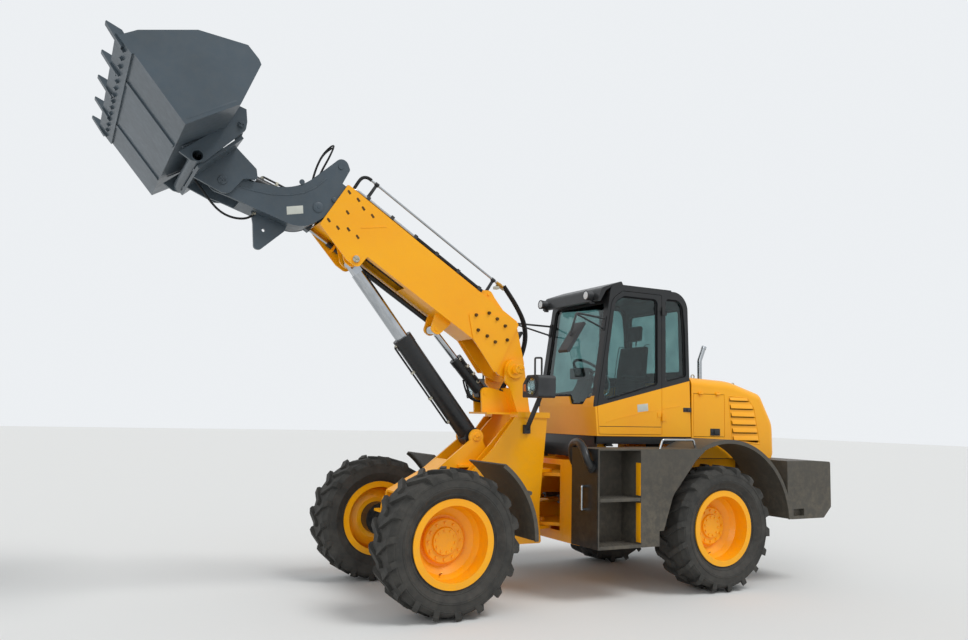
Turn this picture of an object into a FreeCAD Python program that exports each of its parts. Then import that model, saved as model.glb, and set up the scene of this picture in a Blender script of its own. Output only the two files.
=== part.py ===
import FreeCAD, Part
import math
import os
from FreeCAD import Vector as V

# Articulated telescopic loader: two frames hinged at a vertical pivot, a cab and
# an engine hood on the rear frame, a lifting boom with one telescopic section on
# the front frame. Millimetres. X points forward, Y to the machine's left, Z up.
# All x values below are counted from the front axle. The last step moves the
# whole machine so that the origin lies under the middle of its outer box.
FRONT_AXLE_X = 770.0

# Wheels and axles
WHEELBASE = 2800.0
TRACK = 1650.0
TYRE_R = 580.0
TYRE_WIDTH = 410.0
TYRE_SECTORS = 36
LUG_COUNT = 18
LUG_WIDTH = 50.0
RIM_FLANGE_R = 347.0
RIM_BARREL_R = 306.0
RIM_WIDTH = 330.0
RIM_WALL = 12.0
RIM_DISC_T = 18.0
RIM_DISC_IN = -60.0
HUB_R = 178.0
HUB_OUT = 45.0
HUB_CAP_R = 105.0
AXLE_Z = TYRE_R
AXLE_TUBE_R = 85.0
AXLE_BULGE_R = 190.0
AXLE_FLANGE_R = 150.0
RUN_GAP = 0.5
SEAT_GAP = 0.3
ROD_GAP = 0.5

# Frames and their pivot
PIVOT_X = -WHEELBASE / 2
PIVOT_R = 40.0
EAR_R = 82.0
EAR_T = 30.0
EAR_GAP = 3.0
UPPER_EAR_Z = 1020.0
LOWER_EAR_Z = 560.0
FRAME_BOTTOM_Z = 430.0
BULKHEAD_X = -1455.0
BULKHEAD_TOP_Z = 1180.0
BULKHEAD_HALF = 585.0
BULKHEAD_T = 14.0
FRAME_HALF = 305.0
FRAME_PLATE_T = 20.0
TOWER_IN_Y = 180.0
TOWER_IN_T = 25.0
TOWER_OUT_Y = 290.0
TOWER_OUT_T = 20.0

# Boom pivot and the boom, drawn level in its own frame: u along it, w upward
BOOM_PIVOT = (-960.0, 2010.0)
BOOM_ANGLE = 31.8
BOOM_HALF = 160.0
BOOM_PLATE = 12.0
BOOM_HEIGHT = 417.0
BOOM_FRONT_U = 2222.0
BOOM_REAR_U = 177.0
BOOM_PIN_R = 40.0
TAIL_Y = 118.0
TAIL_T = 30.0
INNER_HALF = 140.0
INNER_BOTTOM_W = 68.0
INNER_TOP_W = 396.0
INNER_WALL = 12.0
INNER_REAR_U = 640.0
GOOSE_T = 25.0

# Pins of the cylinders: (x, z) in the raised rest position, y is the middle plane
LIFT_FOOT = (-610.0, 1380.0)
LIFT_EYE = (614.0, 2888.0)
LIFT_BARREL_R = 88.0
LIFT_ROD_R = 60.0
LIFT_BARREL_LEN = 1128.0
COMP_FOOT = (-720.0, 1790.0)
COMP_EYE = (-203.0, 2349.0)
COMP_BARREL_R = 60.0
COMP_ROD_R = 30.0
COMP_BARREL_LEN = 412.0
TILT_FOOT = (960.0, 3300.0)
TILT_EYE = (1593.0, 3522.0)
TILT_BARREL_R = 48.0
TILT_ROD_R = 25.0
TILT_BARREL_LEN = 540.0
COUPLER_PIVOT = (1762.0, 3400.0)
STEER_FOOT = (-2000.0, FRAME_HALF - 175.0)
STEER_EYE = (-1180.0, 130.0)
STEER_Z = 800.0
STEER_BARREL_R = 40.0
STEER_ROD_R = 22.0
STEER_BARREL_LEN = 480.0
EXT_Y = -122.0
EXT_W = -34.0
EXT_BARREL_R = 24.0
EXT_ROD_R = 14.0
EXT_FOOT_U = 790.0
EXT_BARREL_LEN = 1250.0
EXT_EYE_U = 2232.0
EXT_CLAMP_U = 1960.0
PAD_FRONT_U = 2090.0
PAD_LEN = 110.0

# Bucket, drawn level with its heel at the origin: u along the floor, v up its back
BUCKET_HEEL = (2171.0, 3504.0)
BUCKET_ANGLE = 50.0
BUCKET_HALF = 1065.0
BUCKET_FLOOR = 695.0
BUCKET_HEIGHT = 720.0
BUCKET_PLATE = 16.0
TOOTH_COUNT = 5
TOOTH_OUT = 125.0
COUPLER_Y = 165.0
COUPLER_T = 25.0
BRACKET_Y = 480.0
BRACKET_T = 25.0
TUBE_R = 50.0

# Cab, hood and body
CAB_HALF = 500.0
CAB_WALL = 45.0
CAB_FLOOR_Z = 1410.0
CAB_ROOF_Z = 2860.0
CAB_FRONT_X = -1696.0
CAB_REAR_X = -2848.0
DOOR_SPLIT_X = -2478.0
DOOR_GAP = 5.0
DOOR_HINGE = (DOOR_SPLIT_X, CAB_HALF + 12)
DOOR_HINGE_R = 11.0
DOOR_HINGE_Z = (1600.0, 2650.0)
GLASS_T = 6.0
HOOD_FRONT_X = -2860.0
HOOD_HALF = 500.0
HOOD_WALL = 12.0
HOOD_EDGE_R = 85.0
HOOD_BOTTOM_Z = 1198.0
BODY_HALF = 1000.0
STEP_FRONT_X = -1351.0
STEP_REAR_X = -WHEELBASE + 780.0
STEP_COVER_T = 6.0
STEP_TOP_Z = 1312.0
STEP_BOTTOM_Z = 460.0
STEP_IN_Y = 600.0
FENDER_T = 12.0
FRONT_FENDER_R = 735.0
REAR_FENDER_R = 800.0
REAR_FENDER_C = (-WHEELBASE - 80.0, 590.0)
CW_REAR_X = -4262.0
ENGINE_TOP_Z = 1760.0
SLAT_COUNT = 5
SLAT_PITCH = 82.0
EXHAUST_R = 24.0


def unit(a, b):
    d = math.hypot(b[0] - a[0], b[1] - a[1])
    return ((b[0] - a[0]) / d, (b[1] - a[1]) / d)


def closed_face(rows, put):
    """Face from corner rows (a, b) or (a, b, fillet radius); put maps (a, b) to 3-D."""
    rows = [tuple(r) + (0.0,) * (3 - len(r)) for r in rows]
    parts = []
    for i, (a, b, r) in enumerate(rows):
        p = (a, b)
        if r <= 0:
            parts.append((p, None, p))
            continue
        d1 = unit(p, rows[i - 1])
        d2 = unit(p, rows[(i + 1) % len(rows)])
        half = math.acos(max(-1.0, min(1.0, d1[0] * d2[0] + d1[1] * d2[1]))) / 2
        t = r / math.tan(half)
        m = (d1[0] + d2[0], d1[1] + d2[1])
        n = math.hypot(*m)
        k = (r / math.sin(half) - r) / n
        mid = (a + m[0] * k, b + m[1] * k)
        parts.append(((a + d1[0] * t, b + d1[1] * t), mid, (a + d2[0] * t, b + d2[1] * t)))
    edges = []
    for i, (s, mid, e) in enumerate(parts):
        if mid:
            edges.append(Part.Arc(put(*s), put(*mid), put(*e)).toShape())
        nxt = parts[(i + 1) % len(parts)][0]
        q = rows[(i + 1) % len(rows)]
        if (nxt[0] - e[0]) * (q[0] - rows[i][0]) + (nxt[1] - e[1]) * (q[1] - rows[i][1]) < -1e-6:
            raise ValueError("corner radii too large between %s and %s" % (rows[i], q))
        if math.hypot(nxt[0] - e[0], nxt[1] - e[1]) > 1e-6:
            edges.append(Part.LineSegment(put(*e), put(*nxt)).toShape())
    return Part.Face(Part.Wire(edges))


def side(rows, y0, y1):
    """Plate cut to an (x, z) outline, from y0 to y1."""
    return closed_face(rows, lambda a, b: V(a, y0, b)).extrude(V(0, y1 - y0, 0))


def front(rows, x0, x1):
    """Plate cut to a (y, z) outline, from x0 to x1."""
    return closed_face(rows, lambda a, b: V(x0, a, b)).extrude(V(x1 - x0, 0, 0))


def plan(rows, z0, z1):
    """Plate cut to an (x, y) outline, from z0 to z1."""
    return closed_face(rows, lambda a, b: V(a, b, z0)).extrude(V(0, 0, z1 - z0))


def box(x0, x1, y0, y1, z0, z1):
    return Part.makeBox(x1 - x0, y1 - y0, z1 - z0, V(x0, y0, z0))


def rod_y(x, z, r, y0, y1):
    return Part.makeCylinder(r, y1 - y0, V(x, y0, z), V(0, 1, 0))


def rod_z(x, y, r, z0, z1):
    return Part.makeCylinder(r, z1 - z0, V(x, y, z0), V(0, 0, 1))


def rod_between(p, q, r):
    p = V(*p)
    q = V(*q)
    return Part.makeCylinder(r, (q - p).Length, p, q - p)


def tube_path(points, r, bend):
    """Round bar along straight runs joined by tangent arcs."""
    pts = [V(*p) for p in points]
    edges = []
    last = pts[0]
    for i in range(1, len(pts) - 1):
        p = pts[i]
        d1 = (pts[i - 1] - p).normalize()
        d2 = (pts[i + 1] - p).normalize()
        half = d1.getAngle(d2) / 2
        t = bend / math.tan(half)
        s = p + d1 * t
        e = p + d2 * t
        m = (d1 + d2).normalize()
        mid = p + m * (bend / math.sin(half) - bend)
        edges.append(Part.LineSegment(last, s).toShape())
        edges.append(Part.Arc(s, mid, e).toShape())
        last = e
    edges.append(Part.LineSegment(last, pts[-1]).toShape())
    wire = Part.Wire(edges)
    d = (pts[1] - pts[0]).normalize()
    ring = Part.Wire([Part.Circle(pts[0], d, r).toShape()])
    return wire.makePipeShell([ring], True, True)


def mirrored(shape):
    return shape.mirror(V(0, 0, 0), V(0, 1, 0))


def both(shape):
    return [shape, mirrored(shape)]


def fuse(items):
    return items[0].multiFuse(items[1:]).removeSplitter()


def group(items):
    return Part.Compound(items)


def revolve_y(rows, x, y, z):
    """Solid of revolution about the wheel axis from (offset outward, radius) rows."""
    face = closed_face(rows, lambda a, b: V(x, y + a, z + b))
    return face.revolve(V(x, y, z), V(0, 1, 0), 360)


def on_boom(shape):
    """Moves a shape drawn level in the boom's frame to the raised position."""
    s = shape.copy()
    s.rotate(V(0, 0, 0), V(0, 1, 0), -BOOM_ANGLE)
    s.translate(V(BOOM_PIVOT[0], 0, BOOM_PIVOT[1]))
    return s


def boom_xz(u, w):
    c = math.cos(math.radians(BOOM_ANGLE))
    s = math.sin(math.radians(BOOM_ANGLE))
    return (BOOM_PIVOT[0] + u * c - w * s, BOOM_PIVOT[1] + u * s + w * c)


def to_boom(x, z):
    c = math.cos(math.radians(BOOM_ANGLE))
    s = math.sin(math.radians(BOOM_ANGLE))
    dx = x - BOOM_PIVOT[0]
    dz = z - BOOM_PIVOT[1]
    return (dx * c + dz * s, -dx * s + dz * c)


def ram(length, barrel_len, barrel_r, rod_r, foot_half, eye_half, foot_pin_r, rod_inside, eye_r, neck):
    """Hydraulic cylinder along +X from its foot pin; returns barrel and rod."""
    gland = barrel_len
    foot_r = barrel_r * 0.95
    barrel = fuse([
        rod_y(0, 0, foot_r, -foot_half, foot_half),
        closed_face([(foot_r * 0.6, 0), (foot_r * 0.6, barrel_r), (gland - barrel_r, barrel_r),
                     (gland - barrel_r, barrel_r * 1.04), (gland, barrel_r * 1.04), (gland, 0)],
                    lambda a, b: V(a, 0, b)).revolve(V(0, 0, 0), V(1, 0, 0), 360),
    ])
    bore = Part.makeCylinder(rod_r + ROD_GAP, gland, V(foot_pin_r + 20, 0, 0), V(1, 0, 0))
    barrel = barrel.cut(bore).cut(rod_y(0, 0, foot_pin_r + ROD_GAP, -foot_half - 5, foot_half + 5))
    flat = min(eye_half, rod_r * 0.72)
    rod = fuse([
        rod_y(length, 0, eye_r, -eye_half, eye_half),
        box(length - neck - 5, length, -flat, flat, -rod_r * 0.65, rod_r * 0.65),
        Part.makeCylinder(rod_r, rod_inside - neck, V(length - rod_inside, 0, 0), V(1, 0, 0)),
    ])
    return barrel, rod


def aim_xz(shape, foot, eye, y=0.0):
    s = shape.copy()
    a = math.degrees(math.atan2(eye[1] - foot[1], eye[0] - foot[0]))
    s.rotate(V(0, 0, 0), V(0, 1, 0), -a)
    s.translate(V(foot[0], y, foot[1]))
    return s


def aim_xy(shape, foot, eye, z):
    s = shape.copy()
    s.rotate(V(0, 0, 0), V(1, 0, 0), 90)
    a = math.degrees(math.atan2(eye[1] - foot[1], eye[0] - foot[0]))
    s.rotate(V(0, 0, 0), V(0, 0, 1), a)
    s.translate(V(foot[0], foot[1], z))
    return s


def dist(p, q):
    return math.hypot(q[0] - p[0], q[1] - p[1])


os.makedirs("parts", exist_ok=True)
nodes = {}

# Wheels: a tyre and a deep rim that carries the outer hub
LUG_STEP = 360.0 / LUG_COUNT
CORNER_A = math.radians(LUG_STEP * 3 / 8)
CORNER_R = TYRE_R / math.cos(math.radians(LUG_STEP / 8))
LUG_TOP = CORNER_R * math.cos(CORNER_A)
W2 = TYRE_WIDTH / 2
BEAD = RIM_WIDTH / 2 - 14
SEAT_R = (RIM_BARREL_R + SEAT_GAP) / math.cos(math.pi / TYRE_SECTORS) + 0.2
tyre_rows = [
    (-BEAD, SEAT_R), (-BEAD, RIM_FLANGE_R + 9), (-W2 + 2, RIM_FLANGE_R + 83), (-W2 + 5, TYRE_R - 65),
    (-W2 + 55, TYRE_R - 30), (W2 - 55, TYRE_R - 30), (W2 - 5, TYRE_R - 65), (W2 - 2, RIM_FLANGE_R + 83),
    (BEAD, RIM_FLANGE_R + 9), (BEAD, SEAT_R),
]
# one tread bar: (offset from the tyre's middle, height over the axle) down its length
lug_rows = [(-8, LUG_TOP), (W2 - 27, LUG_TOP), (W2, LUG_TOP - 28), (W2, TYRE_R - 80), (W2 - 15, TYRE_R - 110),
            (-8, TYRE_R - 55)]


def flat_solid(faces):
    """Solid from its flat faces, each a row of corners."""
    return Part.makeSolid(Part.makeShell([Part.Face(Part.makePolygon(f + [f[0]])) for f in faces]))


def faceted_ring(rows, count):
    """Ring about the Y axis with flat facets from (offset, radius) rows."""
    rings = []
    for i in range(count):
        a = 2 * math.pi * i / count
        rings.append([V(r * math.cos(a), o, r * math.sin(a)) for o, r in rows])
    faces = []
    for i in range(count):
        p = rings[i]
        q = rings[(i + 1) % count]
        for k in range(len(rows)):
            m = (k + 1) % len(rows)
            faces.append([p[k], p[m], q[m], q[k]])
    return flat_solid(faces)


def tread_bar(rows, width, sweep, angle):
    """Slanted bar on the tread; sweep is how far each end lies along the tyre."""
    slope = 2 * sweep / (rows[1][0] - rows[0][0])
    left = []
    right = []
    for o, r in rows:
        t = -sweep + slope * (o - rows[0][0])
        left.append(V(t - width / 2, o, r))
        right.append(V(t + width / 2, o, r))
    n = len(rows)
    faces = [left, right]
    for k in range(n):
        m = (k + 1) % n
        faces.append([left[k], left[m], right[m], right[k]])
    bar = flat_solid(faces)
    bar.rotate(V(0, 0, 0), V(0, 1, 0), angle)
    return bar


LUG_SWEEP = CORNER_R * math.sin(CORNER_A) - LUG_WIDTH / 2
bars = []
for i in range(LUG_COUNT):
    bars.append(tread_bar(lug_rows, LUG_WIDTH, -LUG_SWEEP, LUG_STEP * i + 90))
    bars.append(tread_bar(lug_rows, LUG_WIDTH, -LUG_SWEEP, LUG_STEP * (i + 0.5) + 90).mirror(V(0, 0, 0), V(0, 1, 0)))
tyre_shape = faceted_ring(tyre_rows, TYRE_SECTORS).multiFuse(bars)
tyre_shape = tyre_shape.Solids[0]
rim_rows = [
    (-RIM_WIDTH / 2, RIM_BARREL_R - RIM_WALL),
    (-RIM_WIDTH / 2, RIM_FLANGE_R),
    (-RIM_WIDTH / 2 + RIM_WALL, RIM_FLANGE_R),
    (-RIM_WIDTH / 2 + RIM_WALL, RIM_BARREL_R),
    (RIM_WIDTH / 2 - RIM_WALL, RIM_BARREL_R),
    (RIM_WIDTH / 2 - RIM_WALL, RIM_FLANGE_R),
    (RIM_WIDTH / 2, RIM_FLANGE_R),
    (RIM_WIDTH / 2, RIM_BARREL_R - RIM_WALL),
    (RIM_DISC_IN + 78, RIM_BARREL_R - RIM_WALL),
    (RIM_DISC_IN + 34, RIM_BARREL_R - 44),
    (RIM_DISC_IN, HUB_R + 22),
    (RIM_DISC_IN, HUB_R),
    (RIM_DISC_IN + HUB_OUT - 12, HUB_R),
    (RIM_DISC_IN + HUB_OUT, HUB_R - 12),
    (RIM_DISC_IN + HUB_OUT, HUB_CAP_R + 8),
    (RIM_DISC_IN + HUB_OUT + 18, HUB_CAP_R),
    (RIM_DISC_IN + HUB_OUT + 18, 0),
    (RIM_DISC_IN - RIM_DISC_T, 0),
    (RIM_DISC_IN - RIM_DISC_T, HUB_R + 12),
    (RIM_DISC_IN + 34 - RIM_DISC_T, RIM_BARREL_R - 40),
    (RIM_DISC_IN + 64 - RIM_DISC_T, RIM_BARREL_R - RIM_WALL),
]
for name, x, s in (("front_left", 0.0, 1), ("front_right", 0.0, -1),
                   ("rear_left", -WHEELBASE, 1), ("rear_right", -WHEELBASE, -1)):
    tyre = tyre_shape.copy()
    tyre.translate(V(x, TRACK / 2, AXLE_Z))
    rim = revolve_y(rim_rows, x, TRACK / 2, AXLE_Z)
    if s < 0:
        tyre = mirrored(tyre)
        rim = mirrored(rim)
    nodes["tyre_" + name] = tyre
    nodes["rim_" + name] = rim


def axle(x):
    """Rigid drive axle: tube, differential housing, wheel flanges and spring pads."""
    bulge = revolve_y([(-178, 0), (-178, AXLE_TUBE_R), (-128, AXLE_BULGE_R - 35), (-75, AXLE_BULGE_R),
                       (75, AXLE_BULGE_R), (128, AXLE_BULGE_R - 35), (178, AXLE_TUBE_R), (178, 0)],
                      x, 0, AXLE_Z)
    y_end = TRACK / 2 + RIM_DISC_IN - RIM_DISC_T - RUN_GAP
    parts = [bulge, rod_y(x, AXLE_Z, AXLE_TUBE_R, -y_end + 60, y_end - 60)]
    for s in (1, -1):
        parts.append(rod_y(x, AXLE_Z, AXLE_FLANGE_R, min(s * (y_end - 150), s * y_end),
                           max(s * (y_end - 150), s * y_end)))
        parts.append(box(x - 110, x + 110, s * 300 - 60, s * 300 + 60,
                         AXLE_Z + 30, AXLE_Z + AXLE_TUBE_R + 25))
    return fuse(parts)


AXLE_PAD_Z = AXLE_Z + AXLE_TUBE_R + 25
nodes["front_axle"] = axle(0.0)
nodes["rear_axle"] = axle(-WHEELBASE)

# Front frame: inner tower plates that carry the boom, outer plates, closing plates
FLANGE_Z = (1566.0, 1616.0)
HEAD_R = 96.0
inner_plate = [
    (-1195, FRAME_BOTTOM_Z), (-640, FRAME_BOTTOM_Z, 40), (-420, AXLE_PAD_Z, 60), (170, AXLE_PAD_Z, 30),
    (150, 845, 50), (-290, 870, 60), (-350, 945, 50), (-570, 1155, 60), (-905, 1520, 20), (-1000, 1604),
    (-915, 1840), (BOOM_PIVOT[0] + HEAD_R, 1890, 30),
    (BOOM_PIVOT[0] + HEAD_R, BOOM_PIVOT[1] + HEAD_R, HEAD_R - 2),
    (BOOM_PIVOT[0] - HEAD_R, BOOM_PIVOT[1] + HEAD_R, HEAD_R - 4),
    (-1130, 1640, 60), (-1195, 1480),
]
outer_plate = [
    (-918, FLANGE_Z[0] + 1), (-690, 1275, 150), (-330, 945, 40), (-330, AXLE_PAD_Z, 20),
    (-420, AXLE_PAD_Z, 20), (-640, FRAME_BOTTOM_Z, 40), (-1215, FRAME_BOTTOM_Z, 20),
    (-1185, 690), (-1262, FLANGE_Z[0] + 1),
]
LIFT_LUG_Y = 120.0
LIFT_LUG_T = 25.0
LIFT_LUG_R = 70.0
AXLE_DECK_Z = 798.0
lift_lug = [
    (-775, 1120), (-440, 1120, 20), (-400, AXLE_DECK_Z), (150, AXLE_DECK_Z), (140, 900, 25), (-210, 1085, 200),
    (LIFT_FOOT[0] + 56, LIFT_FOOT[1] - 24), (LIFT_FOOT[0] - 60, LIFT_FOOT[1] - 20),
]
tower = []
for s in (1, -1):
    y0, y1 = sorted((s * TOWER_IN_Y, s * (TOWER_IN_Y + TOWER_IN_T)))
    tower.append(side(inner_plate, y0, y1))
    tower.append(rod_y(BOOM_PIVOT[0], BOOM_PIVOT[1], 85, *sorted((s * (TOWER_IN_Y - 12), s * 225))))
    y0, y1 = sorted((s * TOWER_OUT_Y, s * (TOWER_OUT_Y + TOWER_OUT_T)))
    tower.append(side(outer_plate, y0, y1))
    ya, yb = sorted((s * (TOWER_IN_Y + TOWER_IN_T - 1), s * (TOWER_OUT_Y + 1)))
    tower.append(box(-1285, -940, *sorted((s * (TOWER_IN_Y + 1), s * (TOWER_OUT_Y + TOWER_OUT_T + 12))),
                     *FLANGE_Z))
    tower.append(box(-1205, -1191, ya, yb, FRAME_BOTTOM_Z, FLANGE_Z[0] + 1))
    tower.append(box(-420, 160, *sorted((s * (TOWER_IN_Y + 1), s * 370)), AXLE_PAD_Z, AXLE_PAD_Z + 22))
    # long plates that hold the lift cylinder's foot and run forward over the axle
    ya, yb = sorted((s * LIFT_LUG_Y, s * (LIFT_LUG_Y + LIFT_LUG_T)))
    tower.append(side(lift_lug, ya, yb))
    tower.append(rod_y(LIFT_FOOT[0], LIFT_FOOT[1], LIFT_LUG_R, ya, yb))
tower.append(box(-400, 150, -TOWER_IN_Y - 1, TOWER_IN_Y + 1, AXLE_DECK_Z, AXLE_DECK_Z + 14))
tower.append(side([(-330, 1178), (-210, 1084, 190), (138, 899), (136, 882), (-214, 1066, 200), (-340, 1165)],
                  -LIFT_LUG_Y - 1, LIFT_LUG_Y + 1))
for z0, z1 in ((FRAME_BOTTOM_Z, STEER_Z - 66), (STEER_Z + 66, 1180)):
    tower.append(box(-1124, -1110, -TOWER_IN_Y - 1, TOWER_IN_Y + 1, z0, z1))
tower.append(box(-1200, -420, -TOWER_IN_Y - 1, TOWER_IN_Y + 1, 1110, 1132))
tower.append(box(-1215, -640, -TOWER_OUT_Y - 1, TOWER_OUT_Y + 1, FRAME_BOTTOM_Z, FRAME_BOTTOM_Z + 14))
tower.append(rod_y(LIFT_FOOT[0], LIFT_FOOT[1], 35, -LIFT_LUG_Y - LIFT_LUG_T - 6, LIFT_LUG_Y + LIFT_LUG_T + 6))
tower.append(rod_y(COMP_FOOT[0], COMP_FOOT[1], 22, -91, 91))
tower.append(box(-1060, -690, -TOWER_IN_Y - 1, TOWER_IN_Y + 1, 1590, 1608))
tower.append(side([(-998, 1591), (-912, 1832), (-925, 1838), (-1012, 1600)], -TOWER_IN_Y - 1, TOWER_IN_Y + 1))
for s in (1, -1):
    tower.append(side([(-1000, 1600), (-690, 1600), (COMP_FOOT[0] + 46, COMP_FOOT[1] + 46, 44),
                       (COMP_FOOT[0] - 46, COMP_FOOT[1] + 46, 44), (-925, 1800)], *sorted((s * 65, s * 86))))
tower.append(rod_y(BOOM_PIVOT[0], BOOM_PIVOT[1], BOOM_PIN_R, -240, 240))
ear = [(-1112, 181), (-1200, 181, 60), (PIVOT_X - EAR_R, 95, 80), (PIVOT_X - EAR_R, -95, 80),
       (-1200, -181, 60), (-1112, -181)]
for z in (UPPER_EAR_Z + EAR_T + EAR_GAP, LOWER_EAR_Z - EAR_T - EAR_GAP):
    tower.append(plan(ear, z, z + EAR_T))
for z in (UPPER_EAR_Z, LOWER_EAR_Z):
    tower.append(rod_z(PIVOT_X, 0, PIVOT_R, z - EAR_T, z + EAR_T + EAR_T))
# decks that hold the steering cylinders' rod eyes between them
for z0, z1 in ((STEER_Z - 66, STEER_Z - 48), (STEER_Z + 48, STEER_Z + 66)):
    tower.append(plan([(-1100, TOWER_IN_Y + 1), (-1225, TOWER_IN_Y + 1, 40), (-1225, 70, 40), (-1180, 40, 30),
                       (-1180, -40, 30), (-1225, -70, 40), (-1225, -TOWER_IN_Y - 1, 40),
                       (-1100, -TOWER_IN_Y - 1)], z0, z1))
    for s in (1, -1):
        tower.append(rod_z(STEER_EYE[0], s * STEER_EYE[1], 20, min(z0, z1) - 8, max(z0, z1) + 8)
                     .cut(rod_z(STEER_EYE[0], s * STEER_EYE[1], 30, STEER_Z - 46, STEER_Z + 46)))
tower = fuse(tower)
nodes["front_frame"] = tower


def fender_arc(cx, cz, r, a0, a1, y0, y1, lip):
    """Curved mudguard: a shell about the wheel with a down-turned outer lip."""
    def sector(r0, r1, ya, yb):
        p = [(cx + rr * math.cos(math.radians(a)), cz + rr * math.sin(math.radians(a)))
             for rr, a in ((r1, a0), (r1, (a0 + a1) / 2), (r1, a1),
                           (r0, a1), (r0, (a0 + a1) / 2), (r0, a0))]
        q = [V(x, ya, z) for x, z in p]
        w = Part.Wire([Part.Arc(q[0], q[1], q[2]).toShape(), Part.LineSegment(q[2], q[3]).toShape(),
                       Part.Arc(q[3], q[4], q[5]).toShape(), Part.LineSegment(q[5], q[0]).toShape()])
        return Part.Face(w).extrude(V(0, yb - ya, 0))
    shell = sector(r, r + FENDER_T, y0, y1)
    edge = sector(r - lip, r + 1, y1 - FENDER_T, y1)
    return fuse([shell, edge])


front_fenders = []
for s in (1, -1):
    f = fender_arc(0, AXLE_Z, FRONT_FENDER_R, 125, 181, TOWER_OUT_Y + TOWER_OUT_T + 60, 1020, 22)
    r = FRONT_FENDER_R + FENDER_T + 16
    x = r * math.cos(math.radians(150.5))
    z = AXLE_Z + r * math.sin(math.radians(150.5))
    f = fuse([f, rod_y(x, z, 18, TOWER_OUT_Y + TOWER_OUT_T + SEAT_GAP, 1012)])
    front_fenders.append(f if s > 0 else mirrored(f))
nodes["front_fenders"] = group(front_fenders)

# Rear frame: side plates arched over the axle, bulkhead with the pivot's opening
rear_plate = [
    (BULKHEAD_X + 1, FRAME_BOTTOM_Z), (BULKHEAD_X + 1, BULKHEAD_TOP_Z), (-3640, BULKHEAD_TOP_Z),
    (-3640, 640, 30), (-3300, 640, 60), (-3130, AXLE_PAD_Z, 60), (-2470, AXLE_PAD_Z, 60),
    (-2300, FRAME_BOTTOM_Z, 60),
]
chassis = []
for s in (1, -1):
    y0, y1 = sorted((s * (FRAME_HALF - FRAME_PLATE_T), s * FRAME_HALF))
    chassis.append(side(rear_plate, y0, y1))
bulkhead = front([(-BULKHEAD_HALF, FRAME_BOTTOM_Z, 15), (BULKHEAD_HALF, FRAME_BOTTOM_Z, 15),
                  (BULKHEAD_HALF, BULKHEAD_TOP_Z, 15), (-BULKHEAD_HALF, BULKHEAD_TOP_Z, 15)],
                 BULKHEAD_X - BULKHEAD_T, BULKHEAD_X)
bulkhead = bulkhead.cut(box(BULKHEAD_X - 50, BULKHEAD_X + 50, -250, 250, 520, 1130))
chassis.append(bulkhead)
rear_ear = [(-1750, FRAME_HALF - 5), (-1560, FRAME_HALF - 5, 120), (PIVOT_X + EAR_R, 82, 80),
            (PIVOT_X + EAR_R, -82, 80), (-1560, -FRAME_HALF + 5, 120), (-1750, -FRAME_HALF + 5)]
for z in (UPPER_EAR_Z, LOWER_EAR_Z):
    ear = plan(rear_ear, z, z + EAR_T)
    chassis.append(ear.cut(rod_z(PIVOT_X, 0, PIVOT_R + 0.5, z - 10, z + EAR_T + 10)))
chassis.append(box(-3640, -1900, -FRAME_HALF + 5, FRAME_HALF - 5, BULKHEAD_TOP_Z - 14, BULKHEAD_TOP_Z))
chassis.append(box(-2330, -1560, -FRAME_HALF + 5, FRAME_HALF - 5, FRAME_BOTTOM_Z, FRAME_BOTTOM_Z + 12))
chassis.append(box(-2350, -2336, -FRAME_HALF + 5, FRAME_HALF - 5, 760, BULKHEAD_TOP_Z - 5))
for s in (1, -1):
    # cab feet and hood rails on top of the side plates
    for x in (-1800, -2700):
        chassis.append(box(x - 60, x + 60, *sorted((s * (FRAME_HALF - 45), s * (FRAME_HALF + 115))),
                           BULKHEAD_TOP_Z - 1,
                           CAB_FLOOR_Z - SEAT_GAP))
    for z in (STEER_Z - 62, STEER_Z + 44):
        chassis.append(box(STEER_FOOT[0] - 50, STEER_FOOT[0] + 60,
                           *sorted((s * (STEER_FOOT[1] - 45), s * (FRAME_HALF - 1))), z, z + 18))
    chassis.append(rod_z(STEER_FOOT[0], s * STEER_FOOT[1], 18, STEER_Z - 70, STEER_Z + 70))
    # outriggers that carry the step boxes and the fenders
    for x in (-1500, -1900):
        chassis.append(box(x - 30, x + 30, *sorted((s * (FRAME_HALF - 1), s * (STEP_IN_Y - SEAT_GAP))),
                           1090, 1150))
nodes["rear_frame"] = fuse(chassis)
nodes["engine_block"] = box(-3560, -2960, -335, 335, BULKHEAD_TOP_Z + SEAT_GAP, ENGINE_TOP_Z)

# Counterweight, cut to the rear fender's curve
cw = side([(CW_REAR_X, 1188, 25), (-3980, HOOD_BOTTOM_Z - SEAT_GAP), (-3300, HOOD_BOTTOM_Z - SEAT_GAP),
           (-3300, 630), (-4147, 630, 20), (-4258, 735, 20)], -BODY_HALF, BODY_HALF)
cw = cw.cut(rod_y(REAR_FENDER_C[0], REAR_FENDER_C[1], REAR_FENDER_R + FENDER_T + SEAT_GAP,
                  -BODY_HALF - 10, BODY_HALF + 10))
cw = cw.cut(box(-3640 - SEAT_GAP, -3200, -BODY_HALF - 10, BODY_HALF + 10, 500, 1300))
for s in (1, -1):
    cw = cw.cut(box(-3864, -3715, *sorted((s * (BODY_HALF - 45), s * (BODY_HALF + 10))), 661, 729))
nodes["counterweight"] = cw

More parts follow.
